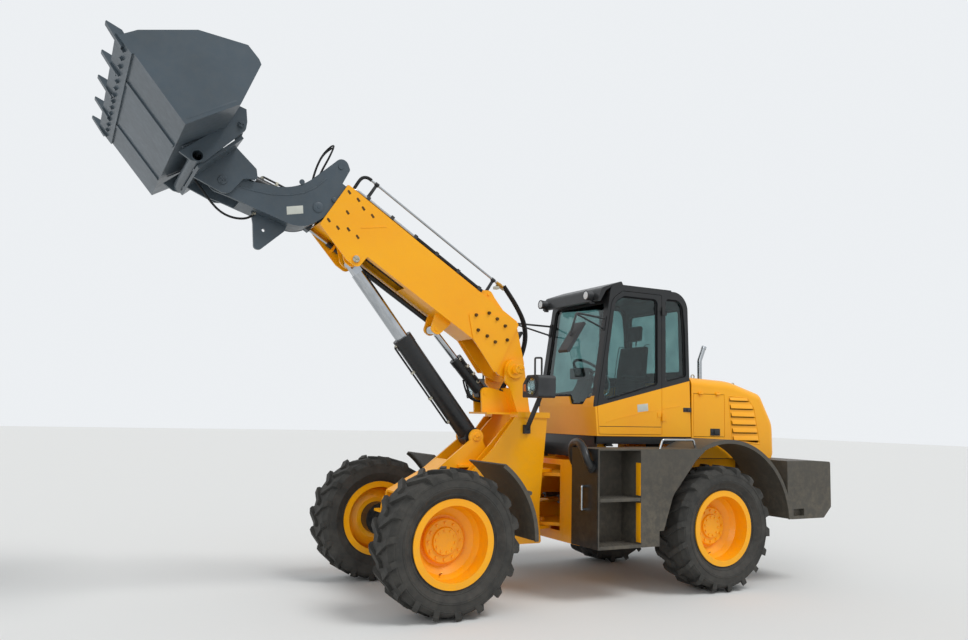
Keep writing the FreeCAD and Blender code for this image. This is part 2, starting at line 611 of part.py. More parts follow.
# Rear fenders with the side skirts, and the step boxes
rear_fenders = []
step_boxes = []
step_covers = []
for s in (1, -1):
    f = fender_arc(REAR_FENDER_C[0], REAR_FENDER_C[1], REAR_FENDER_R, 62, 177,
                   HOOD_HALF + 12, BODY_HALF, 25)
    top = box(REAR_FENDER_C[0] + 350, STEP_REAR_X - SEAT_GAP, HOOD_HALF + 12, BODY_HALF, STEP_TOP_Z - 12, STEP_TOP_Z)
    skirt = side([(STEP_REAR_X - SEAT_GAP, STEP_TOP_Z - 1), (STEP_REAR_X - SEAT_GAP, 593),
                  (STEP_REAR_X - 50, 593), (STEP_REAR_X - 160, 900, 200), (REAR_FENDER_C[0] + 420, 1215, 150),
                  (REAR_FENDER_C[0] + 320, 1290), (REAR_FENDER_C[0] + 320, STEP_TOP_Z - 1)],
                 BODY_HALF - 12, BODY_HALF)
    f = fuse([f, top, skirt])
    rear_fenders.append(f if s > 0 else mirrored(f))
    b = box(STEP_REAR_X, STEP_FRONT_X, STEP_IN_Y, BODY_HALF, STEP_BOTTOM_Z, STEP_TOP_Z)
    b = b.cut(box(-1813, STEP_FRONT_X - 12, STEP_IN_Y + 120, BODY_HALF + 10, STEP_BOTTOM_Z + 25, STEP_TOP_Z - 12))
    tread = [box(-1814, STEP_FRONT_X - 11, STEP_IN_Y + 119, BODY_HALF - 5, z - 20, z) for z in (885,)]
    b = fuse([b] + tread)
    step_boxes.append(b if s > 0 else mirrored(b))
    c = box(STEP_FRONT_X + SEAT_GAP, STEP_FRONT_X + STEP_COVER_T, STEP_IN_Y + 5, BODY_HALF - 5,
            STEP_BOTTOM_Z + 2, STEP_TOP_Z - 2)
    step_covers.append(c if s > 0 else mirrored(c))
nodes["rear_fenders"] = group(rear_fenders)
nodes["step_boxes"] = group(step_boxes)
nodes["step_covers"] = group(step_covers)

# Hood: a moulded shell, open below and toward the cab, with side doors and grilles
hood_rows = [
    (HOOD_FRONT_X, HOOD_BOTTOM_Z), (HOOD_FRONT_X, 2011), (-3414, 1990, 900), (-3850, 1870, 110),
    (-4028, 1560, 260), (-4034, 1300), (-3960, HOOD_BOTTOM_Z),
]


def inset(rows, d):
    cx = sum(r[0] for r in rows) / len(rows)
    cz = sum(r[1] for r in rows) / len(rows)
    out = []
    for r in rows:
        x = r[0] + (d if r[0] < cx else 0)
        z = r[1] - (d if r[1] > cz else 0)
        out.append((x, z) + tuple(r[2:]))
    return out


def rounded_top(shape, y, r):
    """Rounds the two long upper edges, over the rear corner and down the rear."""
    edges = []
    for e in shape.Edges:
        c = e.CenterOfMass
        if abs(abs(c.y) - y) < 1 and c.z > 1320 and c.x < HOOD_FRONT_X - 30:
            edges.append(e)
    return shape.makeFillet(r, edges)


hood = rounded_top(side(hood_rows, -HOOD_HALF, HOOD_HALF), HOOD_HALF, HOOD_EDGE_R)
inner_rows = inset(hood_rows, HOOD_WALL)
inner_rows[0] = (HOOD_FRONT_X + 50, HOOD_BOTTOM_Z - 50)
inner_rows[1] = (HOOD_FRONT_X + 50, 2011 - HOOD_WALL)
inner_rows[-1] = (-3960 + HOOD_WALL, HOOD_BOTTOM_Z - 50)
hood_in = side(inner_rows, -HOOD_HALF + HOOD_WALL, HOOD_HALF - HOOD_WALL)
hood = hood.cut(rounded_top(hood_in, HOOD_HALF - HOOD_WALL, HOOD_EDGE_R - HOOD_WALL))
HOOD_DOOR = (-3305.0, -2882.0, 1412.0, 1848.0)
HOOD_HINGE = (HOOD_HALF + 10, HOOD_DOOR[3])
HINGE_R = 9.0
grille_rows = [(-3369, 1826, 20), (-3625, 1813, 15), (-3710, 1720, 15), (-3789, 1355, 20), (-3418, 1384, 20)]
doors = []
slats = []
for s in (1, -1):
    y0, y1 = sorted((s * (HOOD_HALF - HOOD_WALL - 1), s * (HOOD_HALF + 1)))
    x0, x1, z0, z1 = HOOD_DOOR
    hood = hood.cut(box(x0, x1, y0, y1, z0, z1))
    hood = hood.cut(side(grille_rows, y0, y1))
    ya, yb = sorted((s * (HOOD_HALF - HOOD_WALL), s * HOOD_HALF))
    doors.append(box(x0 + DOOR_GAP, x1 - DOOR_GAP, ya, yb, z0 + DOOR_GAP, z1 - DOOR_GAP))
    for i in range(SLAT_COUNT):
        z = 1418 + SLAT_PITCH * i
        blade = side([(-3900, z), (-3300, z), (-3300, z + 34), (-3900, z + 34)], ya, yb)
        slats.append(blade.common(side(grille_rows, ya, yb)))
rails = [box(-2932, -2912, -HOOD_HALF + 1, HOOD_HALF - 1, BULKHEAD_TOP_Z + SEAT_GAP, 1260)]
knuckles = []
for s in (1, -1):
    for x in (HOOD_DOOR[0] + 70, HOOD_DOOR[1] - 120):
        knuckles.append(Part.makeCylinder(HINGE_R, 18, V(x, s * HOOD_HINGE[0], HOOD_HINGE[1]), V(1, 0, 0)))
        knuckles.append(Part.makeCylinder(HINGE_R, 18, V(x + 38, s * HOOD_HINGE[0], HOOD_HINGE[1]), V(1, 0, 0)))
        knuckle = Part.makeCylinder(HINGE_R, 19, V(x + 18.5, s * HOOD_HINGE[0], HOOD_HINGE[1]), V(1, 0, 0))
        leaf = box(x + 18.5, x + 37.5, *sorted((s * (HOOD_HALF - 1), s * (HOOD_HALF + 4))),
                   HOOD_DOOR[3] - 30, HOOD_HINGE[1] - 2)
        doors[0 if s > 0 else 1] = fuse([doors[0 if s > 0 else 1], knuckle, leaf])
        for dx in (0, 38):
            knuckles.append(box(x + dx, x + dx + 18, *sorted((s * (HOOD_HALF - 1), s * (HOOD_HALF + 4))),
                                HOOD_HINGE[1] - 2, HOOD_HINGE[1] + 22))
nodes["hood"] = fuse([hood] + slats + rails + knuckles)
nodes["hood_door_left"] = doors[0]
nodes["hood_door_right"] = doors[1]
nodes["exhaust_stack"] = tube_path([(-3153, 300, ENGINE_TOP_Z + SEAT_GAP), (-3153, 300, 2200),
                                   (-3219, 300, 2350)], EXHAUST_R, 70)
nodes["hood"] = nodes["hood"].cut(rod_z(-3153, 300, EXHAUST_R + 8, 1900, 2100))

# Cab: black upper frame, yellow lower tub, roof, glass, near-side door
cab_rows = [
    (CAB_FRONT_X, CAB_FLOOR_Z), (CAB_FRONT_X + 26, 1700, 200), (-1832, 2740, 60),
    (-1852, CAB_ROOF_Z, 60), (-2808, CAB_ROOF_Z, 185), (CAB_REAR_X, CAB_FLOOR_Z),
]
cab_in_rows = [
    (CAB_FRONT_X - CAB_WALL, CAB_FLOOR_Z + 40), (CAB_FRONT_X + 26 - CAB_WALL, 1700, 150),
    (-1832 - CAB_WALL, 2700, 60), (-1890, CAB_ROOF_Z - CAB_WALL, 40),
    (-2808 + CAB_WALL, CAB_ROOF_Z - CAB_WALL, 140),
    (CAB_REAR_X + CAB_WALL, CAB_FLOOR_Z + 40),
]
shell = side(cab_rows, -CAB_HALF, CAB_HALF)
shell = shell.cut(side(cab_in_rows, -CAB_HALF + CAB_WALL, CAB_HALF - CAB_WALL))
door_rows = [
    (CAB_FRONT_X - 20, CAB_FLOOR_Z + 15, 20), (CAB_FRONT_X + 2, 1700, 200), (-1860, 2725, 150),
    (-1990, 2815, 90), (DOOR_SPLIT_X, 2815, 20), (DOOR_SPLIT_X, CAB_FLOOR_Z + 15, 20),
]
door_hole = side(door_rows, CAB_HALF - CAB_WALL - 1, CAB_HALF + 1)
quarter_rows = [(-2525, 2780, 40), (-2742, 2780, 110), (-2775, 2500, 100), (-2790, 2010, 30), (-2525, 1945, 30)]
right_rows = [(-1790, 1800, 60), (-1905, 2700, 100), (-2440, 2780, 60), (-2440, 1900, 40)]
glass = []


for rows, s in ((quarter_rows, 1), (quarter_rows, -1), (right_rows, -1)):
    y0, y1 = sorted((s * (CAB_HALF - CAB_WALL - 1), s * (CAB_HALF + 1)))
    shell = shell.cut(side(rows, y0, y1))
    ya, yb = sorted((s * (CAB_HALF - 25), s * (CAB_HALF - 25 - GLASS_T)))
    glass.append(side(rows, ya, yb))
shell = shell.cut(door_hole)
# windscreen and rear window follow the slope of their walls
ws_rows = [(-430, 1790, 60), (40, 1790, 40), (90, 1705, 40), (300, 1705, 40), (345, 1765, 40),
           (430, 1765, 50), (430, 2700, 60), (-430, 2700, 60)]
ws_cut = front(ws_rows, -2100, -1500)
shell_front = side([(-1600, 1500), (-2000, 1500), (-2000, 2800), (-1600, 2800)], -CAB_HALF, CAB_HALF)
ws_zone = side([(CAB_FRONT_X + 40, 1600), (CAB_FRONT_X - CAB_WALL - 20, 1600), (-1935, 2800), (-1780, 2800)],
               -CAB_HALF, CAB_HALF)
ws_glass_zone = side([(CAB_FRONT_X + 5, 1700), (CAB_FRONT_X - 1, 1700), (-1858, 2740), (-1852, 2740)],
                     -CAB_HALF, CAB_HALF)
shell = shell.cut(ws_cut.common(ws_zone))
glass.append(ws_cut.common(ws_glass_zone))
rw_rows = [(-400, 2050, 40), (400, 2050, 40), (400, 2700, 60), (-400, 2700, 60)]
rw_cut = front(rw_rows, -2900, -2740)
shell = shell.cut(rw_cut)
glass.append(front(rw_rows, -2800, -2800 + GLASS_T))
belt = [(CAB_FRONT_X + 200, 1300), (CAB_FRONT_X + 200, 1640), (CAB_REAR_X - 100, 1998), (CAB_REAR_X - 100, 1300)]
belt_zone = side(belt, -CAB_HALF - 50, CAB_HALF + 50)
belt_zone = belt_zone.fuse(box(CAB_FRONT_X - 64, CAB_FRONT_X + 100, -CAB_HALF + 30, CAB_HALF - 30, 1300, 1784))
nodes["cab_base"] = shell.common(belt_zone)
nodes["cab_frame"] = shell.cut(belt_zone)
nodes["cab_glass"] = group(glass)
ROOF_SEAT_Z = CAB_ROOF_Z + SEAT_GAP
nodes["cab_roof"] = side([(-1700, 2698, 8), (-1738, 2822, 60), (-1976, 2906, 14), (-1994, CAB_ROOF_Z + 12),
                          (-2600, CAB_ROOF_Z + 12), (-2600, ROOF_SEAT_Z), (-1890, ROOF_SEAT_Z),
                          (-1862, ROOF_SEAT_Z - 12.3), (-1790, 2800), (-1724, 2690, 5)], -CAB_HALF, CAB_HALF)

door_outer = [
    (CAB_FRONT_X - 20 - DOOR_GAP, CAB_FLOOR_Z + 15 + DOOR_GAP, 18), (CAB_FRONT_X + 2 - DOOR_GAP, 1700, 200),
    (-1860 - DOOR_GAP, 2725 - 3, 148), (-1990, 2815 - DOOR_GAP, 88),
    (DOOR_SPLIT_X + DOOR_GAP, 2815 - DOOR_GAP, 18), (DOOR_SPLIT_X + DOOR_GAP, CAB_FLOOR_Z + 15 + DOOR_GAP, 18),
]
door = side(door_outer, CAB_HALF - CAB_WALL + 2, CAB_HALF)
win_rows = [(CAB_FRONT_X - 60, 1730, 60), (-1900, 2700, 110), (-2010, 2765, 60), (DOOR_SPLIT_X + 55, 2765, 50),
            (DOOR_SPLIT_X + 55, 1915, 40)]
door = door.cut(side(win_rows, 400, 600))
panel = door.common(belt_zone)
door = door.cut(belt_zone)
door_knuckles = []
for z, piece in zip(DOOR_HINGE_Z, (panel, door)):
    knuckle = rod_z(DOOR_HINGE[0], DOOR_HINGE[1], DOOR_HINGE_R, z + 0.5, z + 40)
    leaf = box(DOOR_HINGE[0] + 4, DOOR_HINGE[0] + 60, CAB_HALF - 1, CAB_HALF + 5, z + 0.5, z + 40)
    door_knuckles.append(fuse([piece, knuckle, leaf]))
    knuckle = rod_z(DOOR_HINGE[0], DOOR_HINGE[1], DOOR_HINGE_R, z - 40, z)
    leaf = box(DOOR_HINGE[0] - 60, DOOR_HINGE[0] - 4, CAB_HALF - 1, CAB_HALF + 5, z - 40, z)
    door_knuckles.append([knuckle, leaf])
nodes["cab_base"] = fuse([nodes["cab_base"]] + door_knuckles[1])
nodes["cab_frame"] = fuse([nodes["cab_frame"]] + door_knuckles[3])
nodes["cab_door_panel"] = door_knuckles[0]
nodes["cab_door"] = door_knuckles[2]
nodes["cab_door_glass"] = side(win_rows, CAB_HALF - 25 - GLASS_T, CAB_HALF - 25)

# Inside the cab
nodes["seat"] = fuse([
    box(-2520, -2120, -190, 190, CAB_FLOOR_Z + 40 + SEAT_GAP, 1690),
    side([(-2080, 1690), (-2060, 1800, 30), (-2520, 1790, 20), (-2520, 1690)], -230, 230),
    side([(-2400, 1780), (-2480, 2350, 40), (-2580, 2350, 40), (-2520, 1780)], -220, 220),
    side([(-2478, 2330), (-2500, 2560, 30), (-2580, 2560, 30), (-2560, 2330)], -120, 120),
])
column = side([(-1800, CAB_FLOOR_Z + 40 + SEAT_GAP), (-1760, 1750, 30), (-1920, 2010), (-1960, 1990),
               (-1860, 1700, 30), (-1930, CAB_FLOOR_Z + 40 + SEAT_GAP)], -90, 90)
ring_rows = [(185 + 14 * math.cos(math.radians(45 * i + 22.5)), 14 * math.sin(math.radians(45 * i + 22.5)))
             for i in range(8)]
wheel_ring = closed_face(ring_rows, lambda a, b: V(a, 0, b)).revolve(V(0, 0, 0), V(0, 0, 1), 360)
wheel_ring.rotate(V(0, 0, 0), V(0, 1, 0), -math.degrees(math.atan2(0.6, 0.8)))
wheel_ring.translate(V(-1965, 0, 2040))
spoke = Part.makeCylinder(30, 60, V(-1925, 0, 1985), V(-0.6, 0, 0.8))
bar1 = Part.makeCylinder(10, 370, V(-1965, -185, 2040), V(0, 1, 0))
nodes["steering_column"] = fuse([column, spoke, bar1, wheel_ring])

# Lamps and mirrors
lamps = []
LAMP = (-1100.0, -920.0, 585.0, 1845.0)
head = front([(430, 1745, 15), (700, 1745, 25), (700, 1945, 35), (505, 1945, 30), (430, 1865, 30)], LAMP[0], LAMP[1])
head = head.cut(Part.makeCylinder(80, 60, V(LAMP[1] - 40, LAMP[2], LAMP[3]), V(1, 0, 0)))
clamp = box(-1062, -998, TOWER_OUT_Y + TOWER_OUT_T + SEAT_GAP, TOWER_OUT_Y + TOWER_OUT_T + 34, 1420, 1500)
strut = rod_between((-1030, 330, 1462), (-1062, 505, 1760), 22)
lamp = fuse([head, strut, clamp])
nodes["head_lamps"] = group(both(lamp))
work = []
for x, y, z in ((-1701.8, -440, 2750), (-1701.8, 380, 2750)):
    work.append(fuse([Part.makeCylinder(45, 62, V(x, y, z), V(1, 0, 0)),
                      box(x - 28, x + 12, y - 14, y + 14, 2676, 2691), box(x, x + 12, y - 14, y + 14, 2676, 2720)]))
nodes["work_lamps"] = group(work)
mirrors = []
head = side([(-1463, 2443, 14), (-1435, 2461, 14), (-1251, 2179, 14), (-1279, 2161, 14)], 490, 640)
foot = side([(-1781.1, 2415), (-1802.1, 2550), (-1790.2, 2552), (-1769.2, 2417)], 455, 490)
arm1 = tube_path([(-1792, 472, 2528), (-1410, 560, 2545), (-1340, 560, 2330)], 10, 30)
arm2 = rod_between((-1776, 472, 2433), (-1404, 560, 2536), 9)
mirrors = both(fuse([head, foot, arm1, arm2]))
nodes["mirrors"] = group(mirrors)

# Outer boom: welded box with deep front cheeks, tail plates and cylinder lugs
eye_u, eye_w = to_boom(*LIFT_EYE)
comp_u, comp_w = to_boom(*COMP_EYE)
cheek_rows = [
    (BOOM_REAR_U, BOOM_HEIGHT - 12, 20), (BOOM_FRONT_U, BOOM_HEIGHT, 15), (BOOM_FRONT_U, -30, 15),
    (eye_u + 60, eye_w - 55, 50), (eye_u - 62, eye_w - 55, 50), (eye_u - 70, 0, 15),
    (497, 0, 20), (111, -125, 20),
]
boom = []
for s in (1, -1):
    y0, y1 = sorted((s * (BOOM_HALF - BOOM_PLATE), s * BOOM_HALF))
    boom.append(side(cheek_rows, y0, y1))
    y0, y1 = sorted((s * TAIL_Y, s * (BOOM_HALF - BOOM_PLATE + 1)))
    boom.append(side([(600, 14), (600, 400), (200, 400, 20), (-100, 110, 105), (-110, -100, 100),
                      (100, -118, 20), (480, 14)], y0, y1))
    boom.append(side([(comp_u - 90, 6), (comp_u + 90, 6), (comp_u + 45, comp_w - 46, 44),
                      (comp_u - 45, comp_w - 46, 44)], *sorted((s * 70, s * 90))))
bw = BOOM_HALF - BOOM_PLATE + 1
boom.append(box(BOOM_REAR_U + 20, BOOM_FRONT_U, -bw, bw, BOOM_HEIGHT - BOOM_PLATE, BOOM_HEIGHT))
bottom = box(500, BOOM_FRONT_U, -bw, bw, 0, BOOM_PLATE)
bottom = bottom.cut(box(eye_u - 520, eye_u + 90, -101, 101, -5, 20))
boom.append(bottom)
for v in (48, -66):
    boom.append(side([(eye_u - 50, 14), (eye_u + 190, 14), (eye_u + 190, 0), (eye_u + 50, eye_w - 52, 48),
                      (eye_u - 50, eye_w - 52, 48)], v, v + 18))
boom.append(box(eye_u + 90, eye_u + 102, -88, bw, -60, 6))
boom.append(rod_y(eye_u, eye_w, 34, 65, BOOM_HALF + 8))
for s in (1, -1):
    boom.append(rod_y(comp_u, comp_w, 20, *sorted((s * 69, s * 97))))
# bolted doubler plates on the tail, and the lug of the hose carrier on top
doubler = [(664, 173, 15), (497, 2, 15), (130, -138, 20), (174, 392, 10), (310, 402, 15)]
for s in (1, -1):
    boom.append(side(doubler, *sorted((s * (BOOM_HALF - 1), s * (BOOM_HALF + 8)))))
    boom.append(side([(690, BOOM_HEIGHT - 2), (640, 470, 40), (570, 512, 45), (500, 480, 40), (300, BOOM_HEIGHT - 2)],
                     *sorted((s * 88, s * 104))))
boom.append(rod_y(573, 470, 14, -112, 112))
# slide pads: at the outer section's mouth, and at the inner section's tail
top_w = BOOM_HEIGHT - BOOM_PLATE
for s in (1, -1):
    ya, yb = sorted((s * 78, s * 132))
    boom.append(box(PAD_FRONT_U, PAD_FRONT_U + PAD_LEN, ya, yb, BOOM_PLATE - 1, INNER_BOTTOM_W - SEAT_GAP))
    boom.append(box(PAD_FRONT_U, PAD_FRONT_U + PAD_LEN, ya, yb, INNER_TOP_W + SEAT_GAP, top_w + 1))
    boom.append(box(PAD_FRONT_U, PAD_FRONT_U + PAD_LEN, *sorted((s * (INNER_HALF + SEAT_GAP), s * bw)), 150, 320))
# clamps of the extension cylinder's barrel
for u in (EXT_FOOT_U - 24, EXT_CLAMP_U):
    clamp = box(u, u + 24 - SEAT_GAP, EXT_Y - EXT_BARREL_R - 4, EXT_Y + EXT_BARREL_R + 2, EXT_W - EXT_BARREL_R - 10, 2)
    if u > EXT_FOOT_U:
        clamp = clamp.cut(Part.makeCylinder(EXT_BARREL_R + SEAT_GAP, 60, V(u - 10, EXT_Y, EXT_W), V(1, 0, 0)))
    boom.append(clamp)
outer = fuse(boom)
outer = outer.cut(rod_y(0, 0, BOOM_PIN_R + 0.5, -300, 300))
nodes["outer_boom"] = on_boom(outer)

# Inner boom: box section that carries the gooseneck head
inner = box(INNER_REAR_U, BOOM_FRONT_U + 40, -INNER_HALF, INNER_HALF, INNER_BOTTOM_W, INNER_TOP_W)
inner = inner.cut(box(INNER_REAR_U - 10, BOOM_FRONT_U + 60, -INNER_HALF + INNER_WALL, INNER_HALF - INNER_WALL,
                      INNER_BOTTOM_W + INNER_WALL, INNER_TOP_W - INNER_WALL))
tail_pads = []
for s in (1, -1):
    ya, yb = sorted((s * 104, s * 136))
    tail_pads.append(box(INNER_REAR_U + 5, INNER_REAR_U + PAD_LEN, ya, yb, BOOM_PLATE + SEAT_GAP, INNER_BOTTOM_W + 1))
    tail_pads.append(box(INNER_REAR_U + 5, INNER_REAR_U + PAD_LEN, ya, yb, INNER_TOP_W - 1, top_w - SEAT_GAP))
inner = on_boom(fuse([inner] + tail_pads))
goose_rows = [
    (745, 3560, 20), (692, 3670, 30), (745, 3800, 62), (860, 3690, 60), (1150, 3419, 450), (1560, 3439, 40),
    (1722, 3512, 60), (1870, 3470, 90), (1870, 3330, 90), (1700, 3285, 60), (1080, 3090, 260), (905, 3222, 20),
]
goose = []
for s in (1, -1):
    goose.append(side(goose_rows, *sorted((s * (INNER_HALF - GOOSE_T), s * INNER_HALF))))
web_rows = [(1610, 3256), (1085, 3094, 250), (900, 3230), (912, 3246), (1088, 3112, 235), (1606, 3272)]
goose.append(side(web_rows, -INNER_HALF + 5, INNER_HALF - 5))
goose.append(side([(1500, 3262), (1470, 3120, 60), (1452, 2905, 34), (1398, 2905, 34), (1205, 3085, 30),
                   (1180, 3165)], -15, 15).cut(rod_y(1381, 3072, 14, -30, 30)))
goose.append(rod_y(TILT_FOOT[0], TILT_FOOT[1], 25, -INNER_HALF + 2, INNER_HALF - 2))
for x, z in ((777, 3685), (825, 3384), (1110, 3498)):
    goose.append(rod_y(x, z, 22, -INNER_HALF - 7, -INNER_HALF + 5))
    goose.append(rod_y(x, z, 22, INNER_HALF - 5, INNER_HALF + 7))
goose.append(rod_y(COUPLER_PIVOT[0], COUPLER_PIVOT[1], 38, -COUPLER_Y - COUPLER_T - 4, COUPLER_Y + COUPLER_T + 4))
# bracket of the extension cylinder's rod, on the rear face of the head's web
bk = side([(EXT_EYE_U, EXT_W + 34), (EXT_EYE_U, EXT_W - 30), (EXT_EYE_U + 46, EXT_W - 30),
           (EXT_EYE_U + 10, EXT_W + 34)], EXT_Y - 30, -INNER_HALF + GOOSE_T + 40)
goose.append(on_boom(bk))
nodes["inner_boom"] = fuse([inner] + goose)
nodes["extension_cylinder"] = on_boom(
    Part.makeCylinder(EXT_BARREL_R, EXT_BARREL_LEN, V(EXT_FOOT_U, EXT_Y, EXT_W), V(1, 0, 0)).cut(
        Part.makeCylinder(EXT_ROD_R + ROD_GAP, EXT_BARREL_LEN, V(EXT_FOOT_U + 60, EXT_Y, EXT_W), V(1, 0, 0))))
nodes["extension_rod"] = on_boom(
    Part.makeCylinder(EXT_ROD_R, EXT_EYE_U - SEAT_GAP - EXT_FOOT_U - 80, V(EXT_FOOT_U + 80, EXT_Y, EXT_W),
                      V(1, 0, 0)))

# Coupler and bucket
P = COUPLER_PIVOT
ba = math.radians(BUCKET_ANGLE)
BACK = (-math.sin(ba), math.cos(ba))
OUT = (math.cos(ba), math.sin(ba))
# the coupler's own lines: d along its back, n toward the bucket
DX = (-0.731, 0.682)
NX = (0.682, 0.731)


def dn(d, n, r=0.0):
    return (P[0] + DX[0] * d + NX[0] * n, P[1] + DX[1] * d + NX[1] * n, r)


FACE_N = 141.0
coup = []
plate_rows = [dn(-168, FACE_N + 2), dn(262, FACE_N + 2), (1500, 3532, 22), (1486, 3448, 20),
              (1600, 3436, 40), (1700, 3300, 60), (1758, 3296, 30)]
for s in (1, -1):
    p = side(plate_rows, *sorted((s * COUPLER_Y, s * (COUPLER_Y + COUPLER_T))))
    p = p.cut(rod_y(P[0], P[1], 38.5, *sorted((s * (COUPLER_Y - 5), s * (COUPLER_Y + COUPLER_T + 20)))))
    coup.append(p)
    lug = side([dn(60, FACE_N + 2), dn(250, FACE_N + 2), (TILT_EYE[0] - 18, TILT_EYE[1] + 40, 38),
                (TILT_EYE[0] - 20, TILT_EYE[1] - 45, 38)], *sorted((s * 46, s * 66)))
    coup.append(lug)
    coup.append(rod_y(TILT_EYE[0], TILT_EYE[1], 20, *sorted((s * 45, s * 72))))
coup.append(side([dn(-170, FACE_N), dn(-170, FACE_N + 25), dn(264, FACE_N + 25), dn(264, FACE_N)], -450, 450))
TUBE = (2005.0, 3471.0)
EAR_PIN = (1701.0, 3769.0)
for s in (1, -1):
    arm = side([dn(150, FACE_N + 20), dn(200, FACE_N + 20), (EAR_PIN[0] + 40, EAR_PIN[1] - 30, 20),
                (EAR_PIN[0] + 35, EAR_PIN[1] + 45, 30), (EAR_PIN[0] - 45, EAR_PIN[1] + 30, 30),
                dn(262, FACE_N + 20)], *sorted((s * 420, s * 448)))
    coup.append(arm)
    coup.append(rod_y(EAR_PIN[0], EAR_PIN[1], 26, *sorted((s * 415, s * (BRACKET_Y + BRACKET_T + 10)))))
    coup.append(side([dn(-168, FACE_N + 20), dn(-155, FACE_N + 60, 10), dn(-80, FACE_N + 60, 10), dn(-60, FACE_N + 20)],
                     *sorted((s * 250, s * 320))).cut(rod_y(TUBE[0], TUBE[1], TUBE_R + SEAT_GAP, -400, 400)))
coupler = fuse(coup)
nodes["coupler"] = coupler


def on_bucket(shape):
    s = shape.copy()
    s.rotate(V(0, 0, 0), V(0, 1, 0), -BUCKET_ANGLE)
    s.translate(V(BUCKET_HEEL[0], 0, BUCKET_HEEL[1]))
    return s


def to_bucket(x, z):
    dx = x - BUCKET_HEEL[0]
    dz = z - BUCKET_HEEL[1]
    return (dx * OUT[0] + dz * OUT[1], dx * BACK[0] + dz * BACK[1])


t = BUCKET_PLATE
side_rows = [(0, 0), (BUCKET_FLOOR, 0), (673, 120), (502, 475), (261, BUCKET_HEIGHT), (142, 728), (102, 718),
             (-63, 416)]
bucket = []
for s in (1, -1):
    bucket.append(side(side_rows, *sorted((s * (BUCKET_HALF - t), s * BUCKET_HALF))))
skin = [(BUCKET_FLOOR, 0), (0, 0), (-63, 416), (102, 718), (142, 728), (150, 712), (118, 700), (-63 + t + 2, 412, 60),
        (t + 4, t + 6, 90), (BUCKET_FLOOR - 10, 20)]
bucket.append(side(skin, -BUCKET_HALF + 1, BUCKET_HALF - 1))
bucket.append(side([(BUCKET_FLOOR - 140, -14), (BUCKET_FLOOR - 140, 1), (BUCKET_FLOOR + 10, 1), (BUCKET_FLOOR + 25, -14)],
                   -BUCKET_HALF, BUCKET_HALF))
for s in (1, -1):
    bucket.append(box(10, BUCKET_FLOOR - 150, s * 510 - 30, s * 510 + 30, -12, 1))
pitch = (2 * BUCKET_HALF - 120) / (TOOTH_COUNT - 1)
for i in range(TOOTH_COUNT):
    y = -BUCKET_HALF + 60 + i * pitch
    bucket.append(side([(BUCKET_FLOOR - 60, -34), (BUCKET_FLOOR + TOOTH_OUT, -18, 3), (BUCKET_FLOOR + TOOTH_OUT, -8, 3),
                        (BUCKET_FLOOR + 30, 40), (BUCKET_FLOOR - 60, 32)], y - 30, y + 30))
tu, tv = to_bucket(*TUBE)
eu, ev = to_bucket(*EAR_PIN)
for s in (1, -1):
    br = side([(-40, 10), (tu - 10, tv - 62, 55), (tu - 62, tv + 10, 40), (eu - 52, ev + 5, 40), (eu - 5, ev + 55, 45),
               (-20, 640), (40, 600), (-40, 416)], *sorted((s * BRACKET_Y, s * (BRACKET_Y + BRACKET_T))))
    br = br.cut(rod_y(eu, ev, 26 + SEAT_GAP, -700, 700))
    bucket.append(br)
tube = rod_y(tu, tv, TUBE_R, -BRACKET_Y - BRACKET_T - 6, BRACKET_Y + BRACKET_T + 6)
bucket = fuse(bucket + [tube])
bucket = bucket.cut(rod_y(tu, tv, TUBE_R - 10, -700, 700))
nodes["bucket"] = on_bucket(bucket)

# Hydraulic cylinders
lift_len = dist(LIFT_FOOT, LIFT_EYE)
b, r = ram(lift_len, LIFT_BARREL_LEN, LIFT_BARREL_R, LIFT_ROD_R, 80, 44, 35, 1110, 50, 118)
nodes["lift_barrel"] = aim_xz(b, LIFT_FOOT, LIFT_EYE)
nodes["lift_rod"] = aim_xz(r, LIFT_FOOT, LIFT_EYE)
comp_len = dist(COMP_FOOT, COMP_EYE)
b, r = ram(comp_len, COMP_BARREL_LEN, COMP_BARREL_R, COMP_ROD_R, 52, 62, 22, 435, 42, 60)
nodes["compensation_barrel"] = aim_xz(b, COMP_FOOT, COMP_EYE)
nodes["compensation_rod"] = aim_xz(r, COMP_FOOT, COMP_EYE)
tilt_len = dist(TILT_FOOT, TILT_EYE)
b, r = ram(tilt_len, TILT_BARREL_LEN, TILT_BARREL_R, TILT_ROD_R, 60, 38, 25, 500, 34, 50)
nodes["tilt_barrel"] = aim_xz(b, TILT_FOOT, TILT_EYE)
nodes["tilt_rod"] = aim_xz(r, TILT_FOOT, TILT_EYE)
steer_len = dist(STEER_FOOT, STEER_EYE)
b, r = ram(steer_len, STEER_BARREL_LEN, STEER_BARREL_R, STEER_ROD_R, 34, 36, 18, 560, 28, 40)
for name, s in (("left", 1), ("right", -1)):
    for part, solid in (("barrel", b), ("rod", r)):
        g = aim_xy(solid, STEER_FOOT, STEER_EYE, STEER_Z)
        nodes["steer_%s_%s" % (part, name)] = g if s > 0 else mirrored(g)

for name, shape in nodes.items():
    shape = shape.copy()
    shape.translate(V(FRONT_AXLE_X, 0, 0))
    shape.exportStep("parts/%s.step" % name)
    b = shape.BoundBox
    print("%-22s %2d solids  %.0f..%.0f  %.0f..%.0f  %.0f..%.0f" % (
        name, len(shape.Solids), b.XMin, b.XMax, b.YMin, b.YMax, b.ZMin, b.ZMax))
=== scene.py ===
# %% [markdown]
# # Dressing a telescopic boom loader
# The construction is loaded as a fixed frame: every plate, pin, wheel and cylinder
# already stands at its real size. This lesson gives those pieces their finishes and
# adds what a fitter adds last: bolts, hoses, seals, lamps' lenses, handles and the
# seat's cushions. Lengths are metres, X points forward, Y to the machine's left.

# %% Load the frame
import math
import bpy
import bmesh
from mathutils import Matrix, Vector


